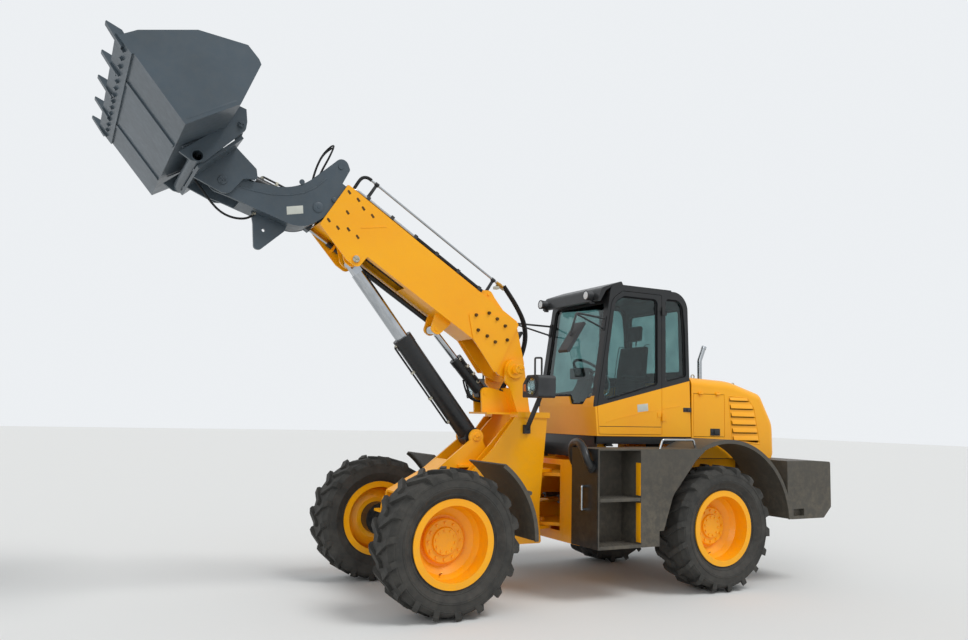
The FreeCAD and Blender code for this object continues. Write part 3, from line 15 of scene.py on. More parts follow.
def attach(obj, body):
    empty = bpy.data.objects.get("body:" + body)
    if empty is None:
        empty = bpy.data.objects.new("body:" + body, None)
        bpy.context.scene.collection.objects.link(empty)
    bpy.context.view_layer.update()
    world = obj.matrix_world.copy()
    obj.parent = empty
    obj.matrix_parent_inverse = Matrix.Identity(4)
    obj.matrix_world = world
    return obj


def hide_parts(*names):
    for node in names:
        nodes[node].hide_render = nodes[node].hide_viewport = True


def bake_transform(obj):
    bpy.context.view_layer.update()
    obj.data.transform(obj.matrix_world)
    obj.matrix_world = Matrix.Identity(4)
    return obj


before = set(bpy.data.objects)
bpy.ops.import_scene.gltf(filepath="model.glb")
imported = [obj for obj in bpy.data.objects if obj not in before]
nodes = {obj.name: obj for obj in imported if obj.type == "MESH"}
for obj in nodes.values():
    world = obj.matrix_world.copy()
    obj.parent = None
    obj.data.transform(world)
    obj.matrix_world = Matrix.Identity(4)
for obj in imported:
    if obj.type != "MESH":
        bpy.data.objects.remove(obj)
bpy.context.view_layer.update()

# %% [markdown]
# ## Small tools
# A few helpers are needed everywhere. One turns a paint chip's hex code into the linear
# values that a renderer mixes. The others add a node with its settings and links, do
# sums on sockets, spread a value over a range, and draw ramps, noise and relief.

# %% Colour and node helpers
def linear(hex_code):
    """Linear RGBA of an sRGB hex value."""
    out = []
    for i in (1, 3, 5):
        c = int(hex_code[i:i + 2], 16) / 255
        out.append(c / 12.92 if c <= 0.04045 else ((c + 0.055) / 1.055) ** 2.4)
    return (*out, 1.0)


def feed(tree, node, inputs):
    """Gives a node's sockets, by name or number, a value or a link from another socket."""
    for key, value in inputs.items():
        if isinstance(value, bpy.types.NodeSocket):
            tree.links.new(value, node.inputs[key])
        else:
            node.inputs[key].default_value = value


def add(tree, kind, settings=None, inputs=None):
    """Adds a node with its settings and its sockets' inputs."""
    node = tree.nodes.new(kind)
    for key, value in (settings or {}).items():
        setattr(node, key, value)
    feed(tree, node, inputs or {})
    return node


def maths(tree, operation, *values):
    """The result of a sum on sockets or numbers."""
    return add(tree, "ShaderNodeMath", {"operation": operation}, dict(enumerate(values))).outputs[0]


def spread(tree, value, to_low, to_high, low=0.0, high=1.0):
    """Spreads a value that runs from low to high over another range."""
    return add(tree, "ShaderNodeMapRange", None, {"Value": value, "From Min": low, "From Max": high,
                                                  "To Min": to_low, "To Max": to_high}).outputs[0]


def ramp(tree, factor, stops):
    """Colour ramp from (position, colour) stops."""
    node = add(tree, "ShaderNodeValToRGB", None, {"Fac": factor})
    elements = node.color_ramp.elements
    elements[0].position, elements[0].color = stops[0]
    elements[1].position, elements[1].color = stops[-1]
    for position, colour in stops[1:-1]:
        element = elements.new(position)
        element.color = colour
    return node.outputs["Color"]


def start_material(name):
    """A new material with its tree, its shader and the object's own coordinates."""
    material = bpy.data.materials.new(name)
    material.use_nodes = True
    tree = material.node_tree
    shader = tree.nodes["Principled BSDF"]
    where = add(tree, "ShaderNodeTexCoord").outputs["Object"]
    return material, tree, shader, where


def noise(tree, where, size, detail=3.0, rough=0.55, stretch=None):
    """Noise whose blobs are about `size` metres across; stretch lengthens them."""
    if stretch:
        where = add(tree, "ShaderNodeMapping", None,
                    {"Vector": where, "Scale": [1 / s for s in stretch]}).outputs[0]
    return add(tree, "ShaderNodeTexNoise", None,
               {"Vector": where, "Scale": 1 / size, "Detail": detail, "Roughness": rough}).outputs["Fac"]


def relief(tree, shader, height, depth):
    """Bump of `depth` metres from a height between 0 and 1."""
    bump = add(tree, "ShaderNodeBump", None, {"Height": height, "Distance": depth, "Strength": 1.0})
    feed(tree, shader, {"Normal": bump.outputs["Normal"]})


print("helpers ready")

# %% [markdown]
# ## Enamel paint
# The yellow, slate, grey and black steel is sprayed two-pack enamel. Its eye-catcher
# is a clear gloss over a colour that is almost even, with a little orange peel, faint
# dust that gathers low down and in a band near the ground, and slight fading. One
# function makes all four, because only the chip, the gloss and the dust differ.

# %% Enamel
DUST = linear("#8A7F6C")


def enamel(name, chip, shade, roughness, coat, dust):
    """Sprayed enamel: chip is its colour, shade its darker tone, dust 0 to 1."""
    material, tree, shader, where = start_material(name)
    clouds = noise(tree, where, 0.55, 4.0)
    specks = noise(tree, where, 0.06, 5.0, 0.7)
    height = add(tree, "ShaderNodeSeparateXYZ", None, {0: where}).outputs["Z"]
    # dust lies thickest below 0.3 m and thins out towards 1.5 m above the ground
    low = spread(tree, height, 1.0, 0.18, 0.3, 1.5)
    amount = maths(tree, "MULTIPLY", low, spread(tree, specks, 0.0, dust, 0.42, 0.72))
    tone = ramp(tree, clouds, [(0.25, linear(shade)), (0.75, linear(chip))])
    mixed = add(tree, "ShaderNodeMix", {"data_type": "RGBA"}, {"Factor": amount, "A": tone, "B": DUST})
    feed(tree, shader, {"Base Color": mixed.outputs["Result"],
                        "Roughness": spread(tree, specks, roughness, min(1.0, roughness + 0.18), 0.3, 0.8),
                        "Coat Weight": coat, "Coat Roughness": 0.12, "Specular IOR Level": 0.35})
    # orange peel is about 2 mm across on the real paint; drawn at 9 mm so that it shows
    relief(tree, shader, noise(tree, where, 0.009, 2.0), 0.00025)
    return material


yellow = enamel("yellow_enamel", "#FFB400", "#FCA800", 0.34, 0.25, 0.14)
slate = enamel("slate_enamel", "#495660", "#3D4850", 0.42, 0.2, 0.3)
graphite = enamel("graphite_enamel", "#504D46", "#43403A", 0.55, 0.08, 0.4)
black = enamel("black_enamel", "#1C1F22", "#151719", 0.38, 0.2, 0.16)
print("enamels:", yellow.name, slate.name, graphite.name, black.name)

# %% [markdown]
# ## Rubber, glass, chrome and the rest
# Tyre rubber is carbon black with a dusty bloom: rough, never quite black. Cast iron is as
# matt, in its own colour. The boom's cheek bolts and mouth slots are a matt dark brown that
# is painted shade, round the bolts and in the slots. Hard chrome on the cylinder rods is a
# clean mirror with fine wipe marks along the stroke. The windows are tinted safety glass.

# %% Other finishes
def matt(name, base, bloom, grain):
    """A matt dark surface with a paler bloom in patches; grain is its texture's size in metres."""
    material, tree, shader, where = start_material(name)
    patches = noise(tree, where, 0.12, 5.0, 0.65)
    tone = ramp(tree, patches, [(0.35, linear(base)), (0.75, linear(bloom))])
    feed(tree, shader, {"Base Color": tone, "Roughness": 0.82, "Specular IOR Level": 0.35})
    relief(tree, shader, noise(tree, where, grain, 3.0, 0.7), 0.0005)
    return material


def metal(name, base, roughness, wipe, worn=None, stretch=None):
    """Bare metal; wipe is the size of its polishing marks, worn their paler colour."""
    material, tree, shader, where = start_material(name)
    marks = noise(tree, where, wipe, 4.0, 0.6, stretch)
    tone = ramp(tree, marks, [(0.3, linear(base)), (0.8, linear(worn or base))])
    feed(tree, shader, {"Base Color": tone, "Metallic": 1.0,
                        "Roughness": spread(tree, marks, roughness, roughness + 0.12)})
    return material


def plastic(name, base, roughness, grain=0.004, fleck="#3A3C3E"):
    """Moulded plastic with a fine leather grain and a second tone in patches."""
    material, tree, shader, where = start_material(name)
    tone = ramp(tree, noise(tree, where, 0.2, 3.0), [(0.3, linear(base)), (0.8, linear(fleck))])
    feed(tree, shader, {"Base Color": tone, "Roughness": roughness})
    relief(tree, shader, noise(tree, where, grain, 3.0, 0.6), 0.0003)
    return material


def glass(name, tint, roughness=0.02):
    """Clear glass with a tint and a faint film of haze."""
    material, tree, shader, where = start_material(name)
    haze = noise(tree, where, 0.25, 3.0)
    tone = ramp(tree, haze, [(0.2, linear(tint)), (0.9, linear("#AFCBC8"))])
    feed(tree, shader, {"Base Color": tone, "Roughness": spread(tree, haze, roughness, roughness + 0.03),
                        "Transmission Weight": 1.0, "IOR": 1.45})
    return material


def cloth(name, base, fleck, pitch):
    """Woven upholstery: two crossing waves of threads `pitch` metres apart."""
    material, tree, shader, where = start_material(name)
    threads = [add(tree, "ShaderNodeTexWave", {"bands_direction": way},
                   {"Vector": where, "Scale": 0.31 / pitch, "Distortion": 0.4}).outputs["Fac"]
               for way in "XY"]
    weave = maths(tree, "MULTIPLY", *threads)
    tone = ramp(tree, weave, [(0.1, linear(base)), (0.8, linear(fleck))])
    feed(tree, shader, {"Base Color": tone, "Roughness": 0.9, "Sheen Weight": 0.25})
    relief(tree, shader, weave, 0.0006)
    return material


tyre_rubber = matt("tyre_rubber", "#333331", "#4A4844", 0.006)
hose_rubber = matt("hose_rubber", "#1C1D1E", "#2B2C2D", 0.003)
seal_rubber = matt("seal_rubber", "#17181A", "#242527", 0.004)
chrome = metal("hard_chrome", "#A4A9AE", 0.06, 0.02, "#C9CCCF", (6.0, 1.0, 6.0))
zinc = metal("zinc_plated_steel", "#B8B4A4", 0.32, 0.01)
pipe_steel = metal("drawn_steel_pipe", "#AEB2B5", 0.22, 0.03)
# a matt dark brown that paints the shade round the boom's cheek bolts and in its mouth slots
painted_shade_brown = matt("painted_shade_brown", "#4A3416", "#6B4A1C", 0.004)
brass = metal("brass", "#B88A3C", 0.28, 0.02)
mirror = metal("silvered_glass", "#DDE2E4", 0.03, 0.4, "#C9CCCF")
cast_iron = matt("cast_iron", "#2C2D2E", "#3B3A38", 0.004)
moulded = plastic("moulded_polypropylene", "#1E2022", 0.55)
wheel_grip = plastic("grip_polyurethane", "#16181A", 0.45)
window_glass = glass("tinted_safety_glass", "#7E9FA0")
lens_clear = glass("lens_polycarbonate", "#E8EEF0", 0.05)
lamp_glass = plastic("frosted_lamp_glass", "#C6CCD0", 0.12, 0.006, "#E4E8EA")
amber = plastic("amber_acrylic", "#C4601A", 0.18, 0.006, "#E07A22")
red_lens = plastic("red_acrylic", "#8C1512", 0.16, 0.006, "#B3201A")
blank_plate = plastic("blank_anodised_plate", "#BEC1B8", 0.4, 0.01, "#D3D5CC")
seat_cloth = cloth("woven_upholstery", "#1E2024", "#34373D", 0.004)
print("finishes:", len(bpy.data.materials))

# %% [markdown]
# ## Finishes on the construction
# A node whose shape is right only needs its material. The table says which finish each
# kind of node gets; a name that starts with a word in the table takes that row.

# %% Assign the finishes
FINISHES = {
    tyre_rubber: ["tyre"],
    yellow: ["rim", "front_frame", "rear_frame", "hood", "cab_base", "cab_door_panel", "outer_boom"],
    slate: ["inner_boom", "coupler", "bucket"],
    graphite: ["counterweight", "rear_fenders", "front_fenders", "step_boxes"],
    black: ["front_axle", "rear_axle", "step_covers", "cab_frame", "cab_roof", "cab_door", "lift_barrel",
            "compensation_barrel", "tilt_barrel", "steer_barrel", "extension_cylinder"],
    chrome: ["lift_rod", "compensation_rod", "tilt_rod", "steer_rod", "extension_rod"],
    window_glass: ["cab_glass", "cab_door_glass"],
    moulded: ["steering_column", "work_lamps", "head_lamps", "mirrors"],
    seat_cloth: ["seat"], cast_iron: ["engine_block"], pipe_steel: ["exhaust_stack"],
}
# a longer name is tried first, so that cab_door_glass isn't taken for cab_door
rows = [(start, finish) for finish, starts in FINISHES.items() for start in starts]
rows.sort(key=lambda row: -len(row[0]))
for name, node in nodes.items():
    finish = next(finish for start, finish in rows if name.startswith(start))
    node.data.materials.clear()
    node.data.materials.append(finish)
print("finished nodes:", len(nodes))

# %% [markdown]
# ## Places and making tools
# Every piece is placed by the machine's drawing: millimetres ahead of the front axle,
# left of the middle and above the ground. `at` turns such a point into the scene's
# metres, and `on_boom` and `on_bucket` do the same for the tilted drawings of the boom
# and the bucket. Outlines are pushed to a depth, turned parts are spun from rows of
# length and radius, and pipes follow a smooth curve. Each of them closes its own ends.

# %% Places
AXLE_AHEAD = 770


def at(x, y, z):
    return Vector((x + AXLE_AHEAD, y, z)) / 1000


UP, AHEAD = (0, 0, 1), (1, 0, 0)


def drawing(x0, z0, degrees):
    """A tilted side drawing: its function places mm along it, to the left and over it."""
    c, s = math.cos(math.radians(degrees)), math.sin(math.radians(degrees))
    return lambda along, y, over: at(x0 + along * c - over * s, y, z0 + along * s + over * c)


# the boom's drawing starts at its pivot, the bucket's at its heel
on_boom = drawing(-960, 2010, 31.8)
on_bucket = drawing(2171, 3504, 50)
ALONG_BOOM = on_boom(1, 0, 0) - on_boom(0, 0, 0)
OVER_BOOM = on_boom(0, 0, 1) - on_boom(0, 0, 0)


def place_object(name, data):
    """Puts mesh, light, curve or camera data into the scene, at the origin."""
    holder = bpy.data.objects.new(name, data)
    bpy.context.scene.collection.objects.link(holder)
    return holder


def evaluated_mesh(holder):
    """A plain mesh of an object with its modifiers applied."""
    return bpy.data.meshes.new_from_object(holder.evaluated_get(bpy.context.evaluated_depsgraph_get()))


# %% Solids
def finish_piece(name, shape, finish, body, sharp=38):
    """Makes an object at the origin of a bmesh or a mesh; it rides on a body."""
    if isinstance(shape, bmesh.types.BMesh):
        bmesh.ops.recalc_face_normals(shape, faces=shape.faces)
        mesh = bpy.data.meshes.new(name)
        shape.to_mesh(mesh)
        shape.free()
    else:
        mesh = shape
        mesh.name = name
    mesh.materials.clear()
    mesh.materials.append(finish)
    mesh.shade_smooth()
    mesh.set_sharp_from_angle(angle=math.radians(sharp))
    piece = place_object(name, mesh)
    if body:
        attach(piece, body)
    return piece


def pushed(bm, outline, depth, bevel=0.0):
    """Adds a closed outline pushed along depth, its edges rounded by bevel (metres)."""
    near = [bm.verts.new(p) for p in outline]
    far = [bm.verts.new(p + Vector(depth)) for p in outline]
    faces = [bm.faces.new(near), bm.faces.new(far[::-1])]
    count = len(near)
    for i in range(count):
        j = (i + 1) % count
        faces.append(bm.faces.new((near[i], near[j], far[j], far[i])))
    if bevel:
        edges = list({edge for face in faces for edge in face.edges})
        bmesh.ops.bevel(bm, geom=edges, offset=bevel, segments=2, profile=0.6,
                        affect="EDGES", clamp_overlap=True)


def block(bm, low, high, bevel=1.5):
    """Adds a box between two drawing points, bevel in mm."""
    a, b = at(*low), at(*high)
    base = [a, Vector((b.x, a.y, a.z)), Vector((b.x, b.y, a.z)), Vector((a.x, b.y, a.z))]
    pushed(bm, base, (0, 0, b.z - a.z), bevel / 1000)


def side_block(bm, s, low, high, bevel=1.5):
    """A block drawn for the left side; s is 1 there and -1 on the right side."""
    y0, y1 = sorted((s * low[1], s * high[1]))
    block(bm, (low[0], y0, low[2]), (high[0], y1, high[2]), bevel)


def side_plate(bm, rows, y, thick, bevel=1.0):
    """Adds a plate from (x, z) rows, thick mm towards the left from y."""
    pushed(bm, [at(x, y, z) for x, z in rows], (0, thick / 1000, 0), bevel / 1000)


def strip(bm, start, end, s, width, height, bevel):
    """Adds a raised strip on an upright face between two places; sizes in mm."""
    slope = (end - start).normalized()
    lift = Vector((-slope.z, 0, slope.x)) * width / 2000
    pushed(bm, [start - lift, end - lift, end + lift, start + lift], (0, s * height / 1000, 0), bevel / 1000)


def spokes(facing, sectors, first=0.0):
    """Unit vectors at even turns round an axis, from a first angle in radians."""
    axis = Vector(facing).normalized()
    side = axis.orthogonal().normalized()
    across = axis.cross(side)
    turns = [first + 2 * math.pi * i / sectors for i in range(sectors)]
    return [math.cos(turn) * side + math.sin(turn) * across for turn in turns]


def skin(bm, rings, hoop=False):
    """Closes rings of vertices into a solid; a ring of one is a point, a hoop has no ends."""
    if hoop:
        rings = rings + [rings[0]]
    for a, b in zip(rings, rings[1:]):
        sectors = max(len(a), len(b))
        for i in range(sectors):
            j = (i + 1) % sectors
            if len(a) == 1:
                bm.faces.new((a[0], b[i], b[j]))
            elif len(b) == 1:
                bm.faces.new((a[i], a[j], b[0]))
            else:
                bm.faces.new((a[i], a[j], b[j], b[i]))
    if not hoop:
        for ring in (rings[0], rings[-1]):
            if len(ring) > 1:
                bm.faces.new(ring)


def turned(bm, start, toward, rows, sectors=24, hoop=False):
    """Adds a turned solid from (mm along the axis, mm radius) rows; a hoop closes on itself."""
    axis = Vector(toward).normalized()
    around = spokes(toward, sectors)
    rings = []
    for along, radius in rows:
        centre = start + axis * along / 1000
        places = [centre + spoke * radius / 1000 for spoke in around] if radius else [centre]
        rings.append([bm.verts.new(place) for place in places])
    skin(bm, rings, hoop)


def bead(radius, minor, steps=8):
    """Rows of a round hoop: minor is the radius of its own section."""
    turns = [2 * math.pi * i / steps for i in range(steps)]
    return [(minor * math.sin(t), radius + minor * math.cos(t)) for t in turns]


print("solids: pushed, block, side_plate, strip, turned")

# %% Pipes
def smooth_route(points, diameter=0.0, closed=False):
    """Curve data of one smooth line through the control points, round if it has a diameter (mm)."""
    curve = bpy.data.curves.new("route", "CURVE")
    curve.dimensions = "3D"
    spline = curve.splines.new("NURBS")
    spline.points.add(len(points) - 1)
    for knot, point in zip(spline.points, points):
        knot.co = (*point, 1.0)
    spline.order_u = 3
    spline.use_endpoint_u = not closed
    spline.use_cyclic_u = closed
    curve.resolution_u = 8
    curve.bevel_depth = diameter / 2000
    curve.bevel_resolution = 4
    curve.use_fill_caps = True
    return curve


def curve_mesh(curve):
    """The evaluated mesh of curve data."""
    holder = place_object("route", curve)
    mesh = evaluated_mesh(holder)
    bpy.data.objects.remove(holder)
    return mesh


def elbows(points, reach):
    """Control points that bend a rigid pipe tightly, within `reach` mm of each corner."""
    out = [points[0]]
    for before, corner, after in zip(points, points[1:], points[2:]):
        out.append(corner + (before - corner).normalized() * reach / 1000)
        out.append(corner)
        out.append(corner + (after - corner).normalized() * reach / 1000)
    return out + [points[-1]]


def pipes(name, runs, diameter, finish, body, closed=False):
    """Bent pipes as one piece; each run is a list of control points."""
    bm = bmesh.new()
    for run in runs:
        bm.from_mesh(curve_mesh(smooth_route(run, diameter, closed)))
    bmesh.ops.remove_doubles(bm, verts=bm.verts, dist=1e-6)
    return finish_piece(name, bm, finish, body, 50)


print("pipes: smooth_route, elbows, pipes")

# %% [markdown]
# ## What repeats
# Bolts, studs and wires are grown by Geometry Nodes. A tree is written once with its
# sizes as named inputs, then run over seed points that carry a place, the way they
# face and a size. The result is kept as a plain mesh, one for each moving body.

# %% Grow pieces from seed points
def new_tree(name, numbers):
    """Geometry Nodes tree with named inputs; returns the tree and its input node."""
    tree = bpy.data.node_groups.new(name, "GeometryNodeTree")
    tree.interface.new_socket("Seeds", in_out="INPUT", socket_type="NodeSocketGeometry")
    for label, value in numbers.items():
        socket = tree.interface.new_socket(label, in_out="INPUT", socket_type="NodeSocketFloat")
        socket.default_value = value
    tree.interface.new_socket("Finish", in_out="INPUT", socket_type="NodeSocketMaterial")
    tree.interface.new_socket("Pieces", in_out="OUTPUT", socket_type="NodeSocketGeometry")
    return tree, tree.nodes.new("NodeGroupInput")


def scatter(tree, given, shape, lengthwise=False):
    """Ends a tree: the shape on every seed, turned and sized by it, made real and finished."""
    points = add(tree, "GeometryNodeMeshToPoints", None, {"Mesh": given.outputs["Seeds"]}).outputs[0]
    facing = add(tree, "GeometryNodeInputNamedAttribute", {"data_type": "FLOAT_VECTOR"}, {"Name": "facing"})
    size = add(tree, "GeometryNodeInputNamedAttribute", {"data_type": "FLOAT"}, {"Name": "size"}).outputs[0]
    if lengthwise:
        # the seed's size is then its length along Y alone
        size = add(tree, "ShaderNodeCombineXYZ", None, {"X": 1.0, "Y": size, "Z": 1.0}).outputs[0]
    turn = add(tree, "FunctionNodeAlignRotationToVector", {"axis": "Z"}, {"Vector": facing.outputs[0]})
    copies = add(tree, "GeometryNodeInstanceOnPoints", None,
                 {"Points": points, "Instance": shape, "Rotation": turn.outputs[0], "Scale": size})
    real = add(tree, "GeometryNodeRealizeInstances", None, {"Geometry": copies.outputs[0]})
    done = add(tree, "GeometryNodeSetMaterial", None,
               {"Geometry": real.outputs[0], "Material": given.outputs["Finish"]})
    add(tree, "NodeGroupOutput", None, {0: done.outputs[0]})


def raised(tree, shape, height):
    """Moves a shape up by a height socket."""
    offset = add(tree, "ShaderNodeCombineXYZ", None, {"Z": height}).outputs[0]
    return add(tree, "GeometryNodeTransform", None, {"Geometry": shape, "Translation": offset}).outputs[0]


def grow(name, tree, seeds, finish, body, numbers=None, sharp=30):
    """Runs a tree over (place, facing, size in mm) seeds and keeps a plain mesh."""
    mesh = bpy.data.meshes.new(name + "_seeds")
    mesh.from_pydata([tuple(place) for place, way, size in seeds], [], [])
    mesh.attributes.new("facing", "FLOAT_VECTOR", "POINT")
    mesh.attributes.new("size", "FLOAT", "POINT")
    facing = mesh.attributes["facing"].data
    across = mesh.attributes["size"].data
    for i, (place, way, size) in enumerate(seeds):
        facing[i].vector = way
        across[i].value = size / 1000
    holder = place_object(name + "_seeds", mesh)
    modifier = holder.modifiers.new("grow", "NODES")
    modifier.node_group = tree
    values = dict(numbers or {}, Finish=finish)
    for item in tree.interface.items_tree:
        if item.in_out == "INPUT" and item.name in values:
            modifier[item.identifier] = values[item.name]
    grown = evaluated_mesh(holder)
    holder.modifiers.clear()
    bpy.data.objects.remove(holder)
    return finish_piece(name, grown, finish, body, sharp)


# %% Hexagon bolts
# sizes are shares of the width across the flats: a head is 0.6 tall, its washer 1.3 wide
BOLTS, given = new_tree("hexagon_bolts", {"Head Height": 0.6, "Washer Height": 0.12})
head_height, washer_height = given.outputs["Head Height"], given.outputs["Washer Height"]
half_head = maths(BOLTS, "MULTIPLY_ADD", head_height, 0.5, washer_height)
head = add(BOLTS, "GeometryNodeMeshCylinder", None,
           {"Vertices": 6, "Radius": 0.577, "Depth": head_height}).outputs[0]
half_washer = maths(BOLTS, "MULTIPLY", washer_height, 0.5)
washer = add(BOLTS, "GeometryNodeMeshCylinder", None,
             {"Vertices": 14, "Radius": 0.66, "Depth": washer_height}).outputs[0]
both = add(BOLTS, "GeometryNodeJoinGeometry")
for part in (raised(BOLTS, head, half_head), raised(BOLTS, washer, half_washer)):
    BOLTS.links.new(part, both.inputs[0])
scatter(BOLTS, given, both.outputs[0])


def bolt_circle(centre, facing, radius, count, size, first=0.0):
    """Seeds of bolts on a circle; sizes in mm."""
    around = spokes(facing, count, math.radians(first))
    return [(centre + spoke * radius / 1000, facing, size) for spoke in around]


print("tree:", BOLTS.name, len(BOLTS.nodes), "nodes")

# %% [markdown]
# ## Wheels
# Each hub has a cap with ten bolts, inside a ring of twelve wheel bolts, all painted
# over. A valve stands in the dish of the rim. The tyre's side wall carries raised beads:
# one guards the rim and two end the tread's shoulder. Bolts are grown; the beads are
# hoops with as many facets as the tyre.

# %% Hub bolts, valves and side-wall beads
REAR_AXLE_X = -2800
HUB_Z = 580
CAP_Y, CAP_BOLTS_R = 828, 84
FLANGE_Y, FLANGE_BOLTS_R = 810, 142
VALVE_ROWS = [(-26, 5), (-4, 5), (0, 8), (10, 8), (14, 4.5), (40, 4.5), (42, 6), (52, 6), (54, 0)]
TYRE_SECTORS = 72
# distance out from the hub's middle plane, radius of the hoop and of its own section
BEADS = [(990, 379, 8), (1026.5, 444, 5), (1025.5, 500, 4)]
WHEELS = {"front_left": (0, 1), "front_right": (0, -1),
          "rear_left": (REAR_AXLE_X, 1), "rear_right": (REAR_AXLE_X, -1)}
for corner, (x, s) in WHEELS.items():
    body = "wheel_" + corner
    out = Vector((0, s, 0))
    seeds = bolt_circle(at(x, s * CAP_Y, HUB_Z), out, CAP_BOLTS_R, 10, 15)
    seeds += bolt_circle(at(x, s * FLANGE_Y, HUB_Z), out, FLANGE_BOLTS_R, 12, 19, 15)
    grow("hub_bolts_" + corner, BOLTS, seeds, yellow, body)
    bm = bmesh.new()
    turned(bm, at(x + 30, s * 796, HUB_Z - 262), (0, s, 0.55), VALVE_ROWS, 12)
    finish_piece("valve_" + corner, bm, brass, body)
    bm = bmesh.new()
    for y, radius, minor in BEADS:
        turned(bm, at(x, s * y, HUB_Z), out, bead(radius, minor), TYRE_SECTORS, hoop=True)
    finish_piece("side_wall_beads_" + corner, bm, tyre_rubber, body, 60)
print("wheels:", len(WHEELS))

# %% [markdown]
# ## Lamps and mirrors
# A head lamp is a deep polished bowl behind a moulded lens, held by a rim. The lens
# stays clear so that the bowl shows. A loop of round bar guards the lamp's top. The
# mirrors get their silvered glass on the face that looks back.

# %% Head lamps, work lamps and mirrors
LAMP_FACE_X, LAMP_Y, LAMP_Z = -920, 585, 1845
bowl_rows = [(2, 0), (2, 14), (8, 40), (20, 62), (36, 77), (36, 79.5), (18, 68), (1, 44), (0.5, 0)]
bulb_rows = [(0, 9), (14, 9), (18, 5), (19, 0)]
lens_rows = [(0, 0), (0, 77), (3, 79), (6, 76), (10, 50), (12, 24), (12.5, 0)]
rim_rows = [(0, 76), (0, 88), (6, 90), (10, 87), (10, 80), (6, 76)]
guard = [(-1005, 1938), (-1003, 2106), (-1074, 2110), (-1076, 1938)]
for side_name, s in (("left", 1), ("right", -1)):
    face = at(LAMP_FACE_X, s * LAMP_Y, LAMP_Z)
    bm = bmesh.new()
    turned(bm, face - Vector((0.040, 0, 0)), AHEAD, bowl_rows, 40)
    turned(bm, face - Vector((0.038, 0, 0)), AHEAD, bulb_rows, 16)
    finish_piece("head_lamp_bowl_" + side_name, bm, mirror, "front_frame")
    bm = bmesh.new()
    turned(bm, face - Vector((0.002, 0, 0)), AHEAD, lens_rows, 40)
    finish_piece("head_lamp_lens_" + side_name, bm, lens_clear, "front_frame")
    bm = bmesh.new()
    turned(bm, face - Vector((0.0005, 0, 0)), AHEAD, rim_rows, 40, hoop=True)
    finish_piece("head_lamp_rim_" + side_name, bm, moulded, "front_frame")
    bm = bmesh.new()
    side_block(bm, s, (-921, 452, 1800), (-914, 492, 1864), 3)
    finish_piece("turn_lamp_" + side_name, bm, amber, "front_frame")
    loop = [at(x, s * 500, z) for x, z in guard]
    pipes("lamp_guard_" + side_name, [elbows(loop, 30)], 18, black, "front_frame")

WORK_LAMP_X, WORK_LAMP_Z = -1640.3, 2750
small_lens_rows = [(0, 0), (0, 39), (3, 40), (7, 36), (10, 18), (10.5, 0)]
small_rim_rows = [(-6, 45.2), (-6, 48), (6, 48), (8, 45), (8, 40.5), (0.5, 40.5), (0.5, 45.2)]
for name, y in (("work_lamp_right", -440), ("work_lamp_left", 380)):
    bm = bmesh.new()
    turned(bm, at(WORK_LAMP_X, y, WORK_LAMP_Z), AHEAD, small_lens_rows, 32)
    finish_piece(name + "_lens", bm, lamp_glass, "rear_frame")
    bm = bmesh.new()
    turned(bm, at(WORK_LAMP_X, y, WORK_LAMP_Z), AHEAD, small_rim_rows, 32, hoop=True)
    finish_piece(name + "_rim", bm, moulded, "rear_frame")

# the glass is 3 mm thick and follows the long edge of the head that faces the seat
top, low = Vector((-1452, 2429)), Vector((-1288, 2178))
back = Vector((-0.837, -0.547)) * 3
MIRROR_WIDE = 122
bm = bmesh.new()
for y in (504, -504 - MIRROR_WIDE):
    side_plate(bm, [tuple(row) for row in (top, low, low + back, top + back)], y, MIRROR_WIDE, 0.8)
finish_piece("mirror_glass", bm, mirror, "rear_frame")
print("lamps and mirrors done")

# %% [markdown]
# ## Boom: bolts, pipe and hoses
# The cheek plates are bolted through in two rows; the bolts, and thin patches where the
# slots near the mouth lie, are a dark brown that is painted shade. A steel pipe on
# stand-offs runs above the boom and ends in a brass union, from which two hoses swing
# down behind the pivot. Those hoses bend as the boom lifts; here each is a fixed tube in
# its resting shape that rides on no body. Short loops feed the bucket's cylinder. A hose
# is one smooth line through a few given points.

# %% Boom plates
CHEEK_Y = 168
CHEEK_BOLTS = [(-561, 2495), (-696, 2524), (-783, 2475), (-870, 2415), (-585, 2357), (-681, 2308),
               (-767, 2258), (-895, 2285)]
seeds = [(at(x, s * CHEEK_Y, z), (0, s, 0), 25) for s in (1, -1) for x, z in CHEEK_BOLTS]
# the cheek bolts take the dark brown painted shade
grow("cheek_bolts", BOLTS, seeds, painted_shade_brown, "outer_boom")

MOUTH_Y = 160
MOUTH_SLOTS = [(700, 3469), (615, 3414), (566, 3344), (479, 3289), (707, 3289), (870, 3199), (787, 3144),
               (693, 3142), (608, 3086)]
SLOT_LEAN = 0.9  # radians from level
along = Vector((math.cos(SLOT_LEAN), 0, math.sin(SLOT_LEAN))) * 0.021
across = Vector((-math.sin(SLOT_LEAN), 0, math.cos(SLOT_LEAN))) * 0.010
# each slot is a thin dark brown patch on the cheek: painted shade where the slot lies in shadow
bm = bmesh.new()
for s in (1, -1):
    for x, z in MOUTH_SLOTS:
        corners = [at(x, s * MOUTH_Y, z) + along * a + across * b for a, b in
                   ((-1, -1), (0.6, -1), (1, 0), (0.6, 1), (-1, 1))]
        pushed(bm, corners, (0, s * 0.0015, 0), 0.0004)
finish_piece("mouth_slots", bm, painted_shade_brown, "outer_boom")

bm = bmesh.new()
for s in (1, -1):
    strip(bm, on_boom(1917, s * MOUTH_Y, 174), on_boom(1741, s * MOUTH_Y, 331), s, 10, 3, 1)
finish_piece("plate_welds", bm, yellow, "outer_boom")
print("boom bolts:", len(seeds))

